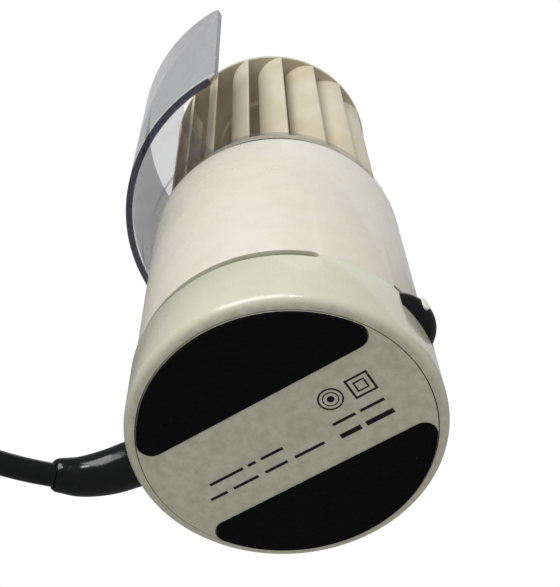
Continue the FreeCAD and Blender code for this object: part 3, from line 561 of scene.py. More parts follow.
CORD = BlackMoulding("cord_black", (0.004, 0.0044, 0.005), 0.16, 0.2, 0.01)
INNER_BLACK = BlackMoulding("inner_black", (0.03, 0.03, 0.03), 0.5, 0.4, 0.03)
INNER_WHITE = Moulding("inner_white", (0.62, 0.60, 0.54), (0.55, 0.48, 0.34), 0.45, 0.0, 0.5)
STEEL = Metal("zinc_steel", (0.55, 0.56, 0.57), (0.38, 0.37, 0.33), 0.32)
IRON = Laminations("laminated_iron", (0.28, 0.28, 0.29), (0.20, 0.09, 0.04), 0.5)
BRONZE = Metal("sintered_bronze", (0.50, 0.34, 0.18), (0.26, 0.17, 0.09), 0.55, (1, 1, 1), 0.03)
BRASS = Metal("brass", (0.72, 0.55, 0.25), (0.42, 0.30, 0.13), 0.3)
COPPER = Winding("copper", (0.62, 0.27, 0.14), (0.42, 0.14, 0.06), 0.28)
ALUMINIUM = Metal("cast_aluminium", (0.65, 0.66, 0.68), (0.46, 0.46, 0.46), 0.5, (1, 1, 1), 0.04)
GROMMET = BlackMoulding("grommet_rubber", (0.03, 0.03, 0.03), 0.7, 0.5, 0.05)
BOARD = Moulding("plate_phenolic", (0.20, 0.12, 0.07), (0.14, 0.07, 0.03), 0.4, 0.1, 0.5, speck_share=0.3)
NICKEL = Metal("nickel", (0.70, 0.69, 0.65), (0.50, 0.48, 0.42), 0.18)

CAD_FINISHES: dict[Finish, tuple[str, ...]] = {
    STEEL: (
        "plate_screws", "body_screws", "detent_spring", "hub_screw", "motor_shaft", "bracket_spacers",
        "motor_screws", "motor_nuts", "motor_plate_screws", "clamp_screws",
    ),
    INNER_BLACK: ("guide_retainer", "switch_bracket"),
    INNER_WHITE: (
        "switch_cam", "thrust_washers", "coil_bobbin", "terminal_block", "coil_leads", "switch_leads",
        "clamp_block", "cord_clamp",
    ),
    BRASS: ("switch_contacts", "hub_bush", "terminal_screws"),
    IRON: ("rotor_core", "stator_core"),
    ALUMINIUM: ("rotor_end_rings", "lower_bracket", "upper_bracket"),
    COPPER: ("shading_rings", "coil_winding"),
    BRONZE: ("lower_bush", "upper_bush"),
    GROMMET: ("rubber_grommets",),
    BOARD: ("motor_plate",),
    CORD: ("cord_tail",),
}


# --- Mesh work -----------------------------------------------------------------------------


def polar(radius: float, azimuth: float, z: float = 0.0) -> Vector:
    """Return the point at a radius, an azimuth in degrees and a height."""
    angle = math.radians(azimuth)
    return Vector((radius * math.cos(angle), radius * math.sin(angle), z))


def arc(centre: Sequence[float], radius: float, start: float, end: float, steps: int) -> list[tuple]:
    """Return points along an arc in a plane.

    Args:
        centre: The arc's centre.
        radius: Its radius.
        start: The angle of its first point, in degrees.
        end: The angle of its last point.
        steps: How many pieces it has.

    Returns:
        The steps + 1 points.
    """
    angles = [math.radians(start + (end - start) * k / steps) for k in range(steps + 1)]
    return [(centre[0] + radius * math.cos(a), centre[1] + radius * math.sin(a)) for a in angles]


class Shape:
    """A mesh under construction, in millimetres, shaped with bmesh operators."""

    def __init__(self) -> None:
        """Start an empty mesh."""
        self.bm = bmesh.new()

    @classmethod
    def taken(cls, mesh: bpy.types.Mesh) -> "Shape":
        """Return a shape with the geometry of a mesh that is in metres."""
        shape = cls()
        shape.bm.from_mesh(mesh)
        bmesh.ops.scale(shape.bm, verts=shape.bm.verts, vec=(1 / MM,) * 3)
        return shape

    def spin(
        self, outline: Sequence[tuple], steps: int = 256, centre: Sequence[float] = (0.0, 0.0)
    ) -> "Shape":
        """Sweep a closed outline of (radius, height) points all the way round an upright axis.

        Args:
            outline: The points, with radii measured from the axis.
            steps: How many pieces a turn has.
            centre: Where the axis stands.

        Returns:
            This shape.
        """
        middle = Vector((centre[0], centre[1], 0.0))
        verts = [self.bm.verts.new(middle + Vector((r, 0.0, z))) for r, z in outline]
        edges = [self.bm.edges.new((a, b)) for a, b in zip(verts, verts[1:] + verts[:1])]
        on_axis = [e for e in edges if all((v.co - middle).xy.length < 1e-6 for v in e.verts)]
        for edge in on_axis:
            self.bm.edges.remove(edge)
        kept = [e for e in edges if e.is_valid]
        bmesh.ops.spin(
            self.bm, geom=verts + kept, cent=middle, axis=(0, 0, 1), angle=FULL_TURN, steps=steps,
            use_merge=True,
        )
        return self.tidy()

    def slab(self, outline: Sequence[Sequence[float]], low: float, high: float) -> "Shape":
        """Raise a closed outline of (x, y) points between two heights and return this shape."""
        verts = [self.bm.verts.new((p[0], p[1], low)) for p in outline]
        face = self.bm.faces.new(verts)
        raised = bmesh.ops.extrude_face_region(self.bm, geom=[face])
        moved = [v for v in raised["geom"] if isinstance(v, bmesh.types.BMVert)]
        bmesh.ops.translate(self.bm, verts=moved, vec=(0, 0, high - low))
        return self.tidy()

    def rod(self, radius: float, start: Vector, end: Vector, sides: int = 48) -> "Shape":
        """Add a round bar between two points and return this shape."""
        axis = end - start
        turn = axis.to_track_quat("Z", "Y").to_matrix().to_4x4()
        place = Matrix.Translation((start + end) / 2) @ turn
        bmesh.ops.create_cone(
            self.bm, cap_ends=True, segments=sides, radius1=radius, radius2=radius, depth=axis.length,
            matrix=place,
        )
        return self

    def tidy(self) -> "Shape":
        """Merge doubles, point the faces outwards and return this shape."""
        bmesh.ops.remove_doubles(self.bm, verts=self.bm.verts, dist=1e-4)
        bmesh.ops.recalc_face_normals(self.bm, faces=self.bm.faces)
        return self

    def corners(self, degrees: float = 35.0) -> list[bmesh.types.BMEdge]:
        """Return the edges that turn by more than an angle."""
        limit = math.radians(degrees)
        return [e for e in self.bm.edges if len(e.link_faces) == 2 and e.calc_face_angle(0.0) > limit]

    def upright_corners(self, degrees: float) -> list[bmesh.types.BMEdge]:
        """Return the corners that also run up or down by more than a millimetre."""
        return [e for e in self.corners(degrees) if abs(e.verts[0].co.z - e.verts[1].co.z) > 1]

    def soften(self, edges: list[bmesh.types.BMEdge], width: float, segments: int = 2) -> "Shape":
        """Round edges over by a width and return this shape."""
        bmesh.ops.bevel(
            self.bm, geom=edges, offset=width, offset_type="OFFSET", segments=segments, profile=0.5,
            affect="EDGES", material=-1, clamp_overlap=True,
        )
        return self

    def turned(self, degrees: float, move: Vector = Vector()) -> "Shape":
        """Turn the shape about the Z axis, move it and return it."""
        turn = Matrix.Rotation(math.radians(degrees), 3, "Z")
        bmesh.ops.rotate(self.bm, verts=self.bm.verts, cent=(0, 0, 0), matrix=turn)
        bmesh.ops.translate(self.bm, verts=self.bm.verts, vec=move)
        return self

    def moved(self, matrix: Matrix) -> "Shape":
        """Place the shape with a matrix and return it."""
        bmesh.ops.transform(self.bm, matrix=matrix, verts=self.bm.verts)
        return self

    def add(self, other: "Shape") -> "Shape":
        """Take in another shape's mesh and return this shape."""
        mesh = bpy.data.meshes.new("taken")
        other.bm.to_mesh(mesh)
        self.bm.from_mesh(mesh)
        bpy.data.meshes.remove(mesh)
        other.bm.free()
        return self

    def combined(self, others: Iterable["Shape"], operation: str = "DIFFERENCE") -> "Shape":
        """Cut other shapes from this one, or join them to it.

        Args:
            others: The other shapes, which are used up.
            operation: DIFFERENCE, UNION or INTERSECT.

        Returns:
            This shape.
        """
        body = self._temporary("body")
        tools = [other._temporary("tool") for other in others]
        for tool in tools:
            step = body.modifiers.new("combine", "BOOLEAN")
            step.operation = operation
            step.solver = "EXACT"
            step.object = tool
        bpy.context.view_layer.update()
        graph = bpy.context.evaluated_depsgraph_get()
        result = bpy.data.meshes.new_from_object(body.evaluated_get(graph))
        self.bm = bmesh.new()
        self.bm.from_mesh(result)
        for item in [body, *tools]:
            mesh = item.data
            bpy.data.objects.remove(item)
            bpy.data.meshes.remove(mesh)
        bpy.data.meshes.remove(result)
        return self.tidy()

    def _temporary(self, name: str) -> bpy.types.Object:
        """Move the mesh into a scene object for a while."""
        mesh = bpy.data.meshes.new(name)
        self.bm.to_mesh(mesh)
        self.bm.free()
        return put(name, mesh)

    def piece(
        self, name: str, body: Body, finishes: Sequence[Finish], nodes: Sequence[str] = (),
        sharp: float = 32.0,
    ) -> bpy.types.Object:
        """Turn the shape into a finished piece that rides on a body.

        Args:
            name: The piece's name.
            body: The body that it moves with.
            finishes: Its finishes; faces pick one by material index.
            nodes: The CAD nodes that it stands for.
            sharp: The angle, in degrees, above which an edge stays crisp.

        Returns:
            The piece.
        """
        bmesh.ops.scale(self.bm, verts=self.bm.verts, vec=(MM, MM, MM))
        crisp = set(self.corners(sharp))
        for edge in self.bm.edges:
            edge.smooth = edge not in crisp
        for face in self.bm.faces:
            face.smooth = True
        mesh = bpy.data.meshes.new(name)
        self.bm.to_mesh(mesh)
        self.bm.free()
        return dress(put(name, mesh), body, finishes, nodes)


def dress(
    item: bpy.types.Object, body: Body, finishes: Sequence[Finish], nodes: Sequence[str] = ()
) -> bpy.types.Object:
    """Give a piece its finishes and its body, and hide the CAD nodes that it stands for.

    Args:
        item: The piece.
        body: The body that it moves with.
        finishes: Its finishes, the main one first.
        nodes: The CAD nodes that it replaces.

    Returns:
        The piece.
    """
    for finish in finishes:
        item.data.materials.append(finish.material())
    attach(item, body.value)
    if nodes:
        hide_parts(*nodes)
    faces = len(item.data.polygons) if item.type == "MESH" else 0
    log.info("%s: %d faces on %s", item.name, faces, body.value)
    return item


# --- Sub-assemblies ------------------------------------------------------------------------


@dataclass(frozen=True)
class Housing:
    """The tall upper shell and the shorter base shell, with the groove and window they share."""

    body_r: float = 37.5
    base_r: float = 38.1
    wall: float = 2.2
    seam_z: float = 22.0
    top_z: float = 90.4
    deck: float = 2.2
    neck_r: float = 33.5
    neck_wall: float = 2.2
    neck_top_z: float = 96.2
    shaft_hole_r: float = 6.0
    bottom_z: float = 0.7
    foot_round: float = 2.6
    opening_r: float = 35.4
    ledge_z: float = 2.7
    seam_break: float = 0.35
    groove_z: tuple[float, float] = (20.1, 23.5)
    groove_floor_r: float = 36.35
    groove_azimuths: tuple[float, float] = (-168.3, -80.9)
    window_half_width: float = 8.5
    window_z: tuple[float, float] = (16.1, 25.1)
    window_corner: float = 1.4
    wheel_azimuth: float = -32.9
    wheel_centre_r: float = 31.45
    wheel_room_r: float = 10.2
    cord_azimuth: float = 158.0
    cord_hole_z: float = 10.0
    cord_hole_r: float = 6.05
    past: float = 2.0
    edge: float = 0.12
    floor_reach: float = 0.12

    def groove(self) -> Shape:
        """Return the cutter for the round-ended finger groove."""
        low, high = self.groove_z
        start, end = self.groove_azimuths
        outer = self.base_r + self.past
        rim = arc((0.0, 0.0), outer, start, end, 64) + arc((0.0, 0.0), self.groove_floor_r, end, start, 64)
        cutter = Shape().slab(rim, low, high)
        middle, radius = (low + high) / 2, (high - low) / 2
        ends = [
            Shape().rod(radius, polar(self.groove_floor_r, a, middle), polar(outer, a, middle), 32)
            for a in self.groove_azimuths
        ]
        return cutter.combined(ends, "UNION")

    def window(self) -> Shape:
        """Return the cutter for the thumb wheel's window, with room for the wheel."""
        low, high = self.window_z
        width = self.window_half_width
        corner = self.window_corner
        outline: list[tuple] = []
        for y, z, start in (
            (width - corner, low + corner, -90), (width - corner, high - corner, 0),
            (corner - width, high - corner, 90), (corner - width, low + corner, 180),
        ):
            outline += arc((y, z), corner, start, start + 90, 6)
        reach = self.base_r + self.past - self.wheel_centre_r
        frame_slab = Shape().slab(outline, 0.0, reach)
        centre = polar(self.wheel_centre_r, self.wheel_azimuth)
        frame_slab.moved(FACING_OUT).turned(self.wheel_azimuth, centre).tidy()
        room = Shape().rod(self.wheel_room_r, centre + Vector((0, 0, low)), centre + Vector((0, 0, high)), 96)
        return frame_slab.combined([room], "UNION")

    def crisp_rims(self, shape: Shape) -> list[bmesh.types.BMEdge]:
        """Return the outer edges of a shell's cut-outs, which are rounded over slightly."""
        inside = self.body_r - self.wall * 0.3
        return [e for e in shape.corners(40.0) if all(v.co.xy.length > inside for v in e.verts)]

    def shade_groove_floor(self, shape: Shape) -> None:
        """Give the groove's floor the piece's second finish, its painted shade."""
        low, high = self.groove_z
        for face in shape.bm.faces:
            place = face.calc_center_median()
            if abs(place.xy.length - self.groove_floor_r) < self.floor_reach and low < place.z < high:
                face.material_index = 1

    def cut(self, shape: Shape, *more: Shape) -> Shape:
        """Cut the groove, the window and any more cutters from a shell, finish the cuts and return it."""
        shape.combined([self.groove(), self.window(), *more])
        shape.soften(self.crisp_rims(shape), self.edge)
        self.shade_groove_floor(shape)
        return shape

    def build_upper(self) -> bpy.types.Object:
        """Build the upper shell with its deck and neck."""
        inner = self.body_r - self.wall
        neck_inner = self.neck_r - self.neck_wall
        brk = self.seam_break
        deck_z = self.top_z - self.deck
        shape = Shape().spin([
            (inner, self.seam_z), (self.body_r - brk, self.seam_z), (self.body_r, self.seam_z + brk),
            *arc((self.body_r - brk, self.top_z - brk), brk, 0, 90, 5),
            (self.neck_r, self.top_z), (self.neck_r, self.neck_top_z), (neck_inner, self.neck_top_z),
            (neck_inner, self.top_z), (self.shaft_hole_r, self.top_z), (self.shaft_hole_r, deck_z),
            (inner, deck_z),
        ])
        return self.cut(shape).piece("upper_housing", Body.HOUSING, [SHELL, GROOVE_SHADE], ["upper_shell"])

    def build_base(self) -> bpy.types.Object:
        """Build the base shell with its rounded foot and cord hole."""
        inner = self.base_r - self.wall
        brk = self.seam_break
        foot = self.foot_round
        shape = Shape().spin([
            (self.opening_r, self.bottom_z),
            *arc((self.base_r - foot, self.bottom_z + foot), foot, -90, 0, 12),
            (self.base_r, self.seam_z - brk), (self.base_r - brk, self.seam_z), (inner, self.seam_z),
            (inner, self.ledge_z), (self.opening_r, self.ledge_z),
        ])
        reach = inner - self.past, self.base_r + self.past
        start, end = (polar(r, self.cord_azimuth, self.cord_hole_z) for r in reach)
        cord_hole = Shape().rod(self.cord_hole_r, start, end)
        return self.cut(shape, cord_hole).piece("base_housing", Body.HOUSING, [BASE, GROOVE_SHADE], ["base_shell"])


@dataclass(frozen=True)
class Underside:
    """The base plate with its two napped pads and its printed marks."""

    plate_r: float = 35.15
    plate_z: tuple[float, float] = (0.5, 2.6)
    pad_r: float = 34.95
    half_strip: float = 13.0
    corner: float = 3.4
    pad_top_z: float = 1.2
    pocket_gap: float = 0.15
    plate_edge: float = 0.12
    pad_edge: float = 0.3
    pad_border: float = 0.6
    azimuths: tuple[float, float] = (-123.4, 56.6)
    print_depth: float = 0.03
    ring_place: tuple[float, float] = (14.3, -4.4)
    ring_radii: tuple[float, float, float] = (3.1, 2.0, 0.9)
    ring_strokes: tuple[float, float, float] = (0.45, 0.3, 0.9)
    square_place: tuple[float, float] = (22.1, -4.1)
    square_sides: tuple[float, float] = (5.9, 3.0)
    square_strokes: tuple[float, float] = (0.55, 0.42)
    apart: float = 0.02
    bars: tuple[tuple[float, float, tuple[tuple[float, float], ...]], ...] = (
        (6.2, 1.4, ((10.7, 16.2), (17.6, 24.9))),
        (2.2, 0.8, ((10.9, 17.0), (18.2, 24.6))),
        (5.5, 0.8, ((-25.2, -20.4), (-18.6, -11.6), (-9.6, -3.4), (-1.4, 6.7))),
        (1.5, 0.8, ((-22.8, -13.4), (-12.0, -9.8), (-8.4, -2.3))),
    )

    def d_slab(self, radius: float, half_strip: float, low: float, high: float, azimuth: float) -> Shape:
        """Return a disc cut off at a chord, with rounded corners.

        Args:
            radius: The disc's radius.
            half_strip: How far the chord is from the middle.
            low: The lower height.
            high: The upper height.
            azimuth: Where the slab faces, in degrees.

        Returns:
            The slab.
        """
        corner = self.corner
        x = half_strip + corner
        y = math.sqrt((radius - corner) ** 2 - x**2)
        lean = math.degrees(math.atan2(y, x))
        outline = [
            *arc((0.0, 0.0), radius, -lean, lean, 120),
            *arc((x, y), corner, lean, 180, 12)[1:],
            *arc((x, -y), corner, 180, 360 - lean, 12)[:-1],
        ]
        return Shape().slab(outline, low, high).turned(azimuth).tidy()

    def build_plate(self) -> bpy.types.Object:
        """Build the plate with its two pockets."""
        low, high = self.plate_z
        shape = Shape().spin([(0.0, low), (self.plate_r, low), (self.plate_r, high), (0.0, high)])
        shape.soften([e for e in shape.corners() if e.verts[0].co.z < sum(self.plate_z) / 2], self.plate_edge)
        pocket_r, pocket_strip = self.pad_r + self.pocket_gap, self.half_strip - self.pocket_gap
        pockets = [self.d_slab(pocket_r, pocket_strip, 0.0, self.pad_top_z, a) for a in self.azimuths]
        shape.combined(pockets)
        return shape.piece("base_plate", Body.HOUSING, [BASE], ["bottom_plate"])

    def build_pad(self, end: str, azimuth: float) -> bpy.types.Object:
        """Build one pad, its lower rim rounded over.

        Args:
            end: Which end it is at, front or rear.
            azimuth: Where it faces.

        Returns:
            The pad.
        """
        shape = self.d_slab(self.pad_r, self.half_strip, 0.0, self.pad_top_z, azimuth)
        rim = [e for e in shape.corners(60.0) if all(v.co.z < self.pad_edge / 2 for v in e.verts)]
        shape.soften(rim, self.pad_edge, 4)
        face = [f for f in shape.bm.faces if f.normal.z < -0.99]
        bmesh.ops.inset_region(shape.bm, faces=face, thickness=self.pad_border, use_even_offset=True)
        return shape.piece(f"{end}_pad", Body.HOUSING, [PAD], [f"foot_pad_{end}"])

    def on_strip(self, along: float, across: float, z: float = 0.0) -> Vector:
        """Return a point of the strip between the pads, from distances along and across it."""
        return Matrix.Rotation(math.radians(self.azimuths[1] - 90), 3, "Z") @ Vector((along, across, z))

    def build_marks(self) -> bpy.types.Object:
        """Build plain printed bars, rings and nested squares.

        A row of bars is given as its distance across the strip, the bars' height and their runs.
        """
        low = self.plate_z[0] - self.print_depth
        high = self.plate_z[0] + self.print_depth
        marks = Shape()

        def bar(start: float, end: float, across: float, height: float) -> None:
            """Print one bar along the strip."""
            under, over = across - height / 2, across + height / 2
            corners = [(start, under), (end, under), (end, over), (start, over)]
            marks.add(Shape().slab([self.on_strip(*c) for c in corners], low, high))

        for across, height, runs in self.bars:
            for start, end in runs:
                bar(start, end, across, height)
        for side, stroke in zip(self.square_sides, self.square_strokes):
            x, y = self.square_place
            for sign in (-1, 1):
                edge = sign * (side - stroke) / 2
                bar(x - side / 2, x + side / 2, y + edge, stroke)
                bar(x + edge - stroke / 2, x + edge + stroke / 2, y, side - 2 * stroke - self.apart)
        middle = self.on_strip(*self.ring_place)
        for radius, stroke in zip(self.ring_radii, self.ring_strokes):
            inner = max(radius - stroke, 0.0)
            outline = [(inner, low), (radius, low), (radius, high), (inner, high)]
            marks.add(Shape().spin(outline, 48, middle))
        return marks.piece("base_marks", Body.HOUSING, [KNOB])


@dataclass(frozen=True)
class ThumbSwitch:
    """The polished thumb wheel with its white mark."""

    wheel_r: float = 9.9
    wheel_z: tuple[float, float] = (16.6, 24.6)
    bulge: float = 2.6
    edge: float = 0.35
    axle_r: float = 1.5
    axle_z: tuple[float, float] = (12.6, 28.2)
    azimuth: float = -32.9
    centre_r: float = 31.45
    dot_azimuth: float = -48.0
    dot_half: tuple[float, float] = (1.3, 2.2)
    dot_raise: float = 0.4
    dot_depth: float = 1.5
    dot_proud: float = 0.1
    dot_edge: float = 0.12

    def centre(self, z: float = 0.0) -> Vector:
        """Return the axle's place."""
        return polar(self.centre_r, self.azimuth, z)

    def rim_outline(self) -> list[tuple]:
        """Return the wheel's rounded rim from bottom to top."""
        low, high = self.wheel_z
        middle = (low + high) / 2 + self.dot_raise
        shoulder = self.wheel_r - self.bulge
        points: list[tuple] = []
        for start_z, sign in ((low, 1), (high, -1)):
            rise = abs(middle - start_z)
            radius = (self.bulge**2 + rise**2) / (2 * self.bulge)
            span = math.degrees(math.asin(rise / radius))
            side = arc((self.wheel_r - radius, middle), radius, -span * sign, 0, 14)
            points += side if sign > 0 else side[::-1][1:]
        points[0] = (shoulder, low)
        points[-1] = (shoulder, high)
        return points

    def build_wheel(self) -> bpy.types.Object:
        """Build the wheel on its axle."""
        low, high = self.wheel_z
        foot, head = self.axle_z
        shape = Shape().spin(
            [(0.0, foot), (self.axle_r, foot), (self.axle_r, low), *self.rim_outline(),
             (self.axle_r, high), (self.axle_r, head), (0.0, head)],
            160, self.centre(),
        )
        rims = [
            e for e in shape.corners(30.0)
            if (e.verts[0].co - self.centre()).xy.length > self.wheel_r / 2
        ]
        shape.soften(rims, self.edge, 4)
        return shape.piece("thumb_wheel", Body.WHEEL, [KNOB], ["switch_wheel"])

    def build_dot(self) -> bpy.types.Object:
        """Build the oval mark in the wheel's rim."""
        middle = sum(self.wheel_z) / 2 + self.dot_raise
        wide, tall = self.dot_half
        oval = [(wide * c, tall * s) for c, s in arc((0.0, 0.0), 1.0, 0, 360, 40)[:-1]]
        shape = Shape().slab(oval, self.wheel_r - self.dot_depth, self.wheel_r + self.dot_proud)
        outer = [e for e in shape.corners(50.0) if all(v.co.z > self.wheel_r for v in e.verts)]
        shape.soften(outer, self.dot_edge, 3)
        shape.moved(FACING_OUT).turned(self.dot_azimuth, self.centre(middle)).tidy()
        return shape.piece("wheel_mark", Body.WHEEL, [MARK], ["wheel_dot"])


@dataclass(frozen=True)
class AirGuide:
    """The clear turning guide, in one moulding."""

    merge: float = 0.002
    flatten: float = 0.6
    edge: float = 0.18
    ring_r: float = 42.0
    floor_z: float = 97.0
    end_facing: float = 0.8
    end_lean: float = 0.5

    def build(self, node: bpy.types.Object) -> bpy.types.Object:
        """Build the guide from a merged copy of its frame node, with its edges eased.

        Args:
            node: The guide's CAD node.

        Returns:
            The guide.
        """
        shape = Shape.taken(node.data)
        bmesh.ops.remove_doubles(shape.bm, verts=shape.bm.verts, dist=self.merge)
        bmesh.ops.dissolve_limit(
            shape.bm, angle_limit=math.radians(self.flatten), verts=shape.bm.verts, edges=shape.bm.edges
        )
        shape.soften(shape.corners(50.0), self.edge, 2)
        for face in shape.bm.faces:
            place = face.calc_center_median()
            facing = abs(face.normal.xy.dot(place.xy.normalized()))
            on_wall = place.xy.length > self.ring_r and place.z > self.floor_z
            # The wall's end faces take the second finish, the painted edge shade.
            if on_wall and facing < self.end_facing and abs(face.normal.z) < self.end_lean:
                face.material_index = 1
        return shape.piece("clear_guide", Body.GUIDE, [GUIDE, GUIDE_EDGE_SHADE], ["air_guide"])


@dataclass(frozen=True)
class Drum:
    """The bladed drum with its floor, hub and ribbed top."""

    radius: float = 34.5
    base_z: tuple[float, float] = (98.2, 101.0)
    top_z: tuple[float, float] = (172.4, 174.0)
    rim: float = 2.6
    edge: float = 0.4
    blades: int = 18
    tip_azimuth: float = -84.6
    tip_r: float = 34.3
    root_r: float = 27.2
    sweep: float = 15.5
    tip_thickness: float = 0.7
    root_thickness: float = 1.2
    back_bulge: float = 2.3
    face_bulge: float = 0.8
    blade_round: float = 0.3
    sink: float = 0.05
    hub_r: float = 8.0
    hub_top_z: float = 112.0
    hub_flare: float = 3.5
    hub_fillet: float = 1.5
    bore_r: float = 4.0
    rib_r: tuple[float, float] = (16.4, 18.4)
    rib_depth: float = 2.2
    rib_fillet: float = 0.5
    rib_draft: float = 0.15

    def build_floor(self) -> bpy.types.Object:
        """Build the floor with its tapered hub."""
        low, high = self.base_z
        edge = self.edge
        shape = Shape().spin([
            (self.bore_r, low), *arc((self.radius - edge, low + edge), edge, -90, 0, 4),
            *arc((self.radius - edge / 2, high - edge / 2), edge / 2, 0, 90, 3),
            *arc((self.hub_r + self.hub_flare, high + self.hub_fillet), self.hub_fillet, -90, -172, 5),
            *arc((self.hub_r - edge, self.hub_top_z - edge), edge, 10, 90, 3),
            (self.bore_r, self.hub_top_z),
        ])
        return shape.piece("drum_floor", Body.DRUM, [DRUM], ["drum_base"])

    def build_top(self) -> bpy.types.Object:
        """Build the top with its recess and its stiffening ring."""
        low, high = self.top_z
        edge = self.edge
        inner, outer = self.rib_r
        recess = self.radius - self.rim
        fillet, draft = self.rib_fillet, self.rib_draft
        shape = Shape().spin([
            (0.0, low), (inner - fillet, low), (inner, low - fillet), (inner + draft, low - self.rib_depth),
            (outer - draft, low - self.rib_depth), (outer, low - fillet), (outer + fillet, low),
            (self.radius - edge / 2, low), (self.radius, low + edge / 2),
            *arc((self.radius - edge, high - edge), edge, 0, 90, 4),
            *arc((recess + edge, high - edge), edge, 90, 180, 4),
            (0.0, high - edge),
        ])
        return shape.piece("drum_cap", Body.DRUM, [DRUM], ["drum_top"])

    def side(self, tip: Vector, root: Vector, bulge: float, steps: int = 9) -> list[Vector]:
        """Return points along one face of a blade.

        Args:
            tip: Its outer end.
            root: Its inner end.
            bulge: How far its middle stands off the straight line, to the left of tip-to-root.
            steps: How many pieces it has.

        Returns:
            The points from tip to root.
        """
        chord = root - tip
        out = Vector((-chord.y, chord.x, 0)).normalized()
        shares = [k / steps for k in range(steps + 1)]
        return [tip + chord * t + out * bulge * 4 * t * (1 - t) for t in shares]

    def build_blades(self) -> bpy.types.Object:
        """Build one curved blade and repeat it round the drum."""
        tip = polar(self.tip_r, self.tip_azimuth)
        root = polar(self.root_r, self.tip_azimuth - self.sweep)
        chord = (tip - root).normalized()
        out = Vector((chord.y, -chord.x, 0))
        tip_half = out * self.tip_thickness / 2
        root_half = out * self.root_thickness / 2
        back = self.side(tip + tip_half, root + root_half, self.back_bulge - self.root_thickness / 2)
        face = self.side(tip - tip_half, root - root_half, self.face_bulge + self.root_thickness / 2)
        low, high = self.base_z[1] - self.sink, self.top_z[0] + self.sink
        shape = Shape().slab([*back, *face[::-1]], low, high)
        shape.soften(shape.upright_corners(35.0), self.blade_round, 4)
        pitch = FULL_TURN / self.blades
        bmesh.ops.spin(
            shape.bm, geom=[*shape.bm.verts, *shape.bm.edges, *shape.bm.faces], cent=(0, 0, 0),
            axis=(0, 0, 1), angle=FULL_TURN - pitch, steps=self.blades - 1, use_duplicate=True,
        )
        bmesh.ops.recalc_face_normals(shape.bm, faces=shape.bm.faces)
        return shape.piece("drum_blading", Body.DRUM, [DRUM], ["drum_blades"], 40.0)


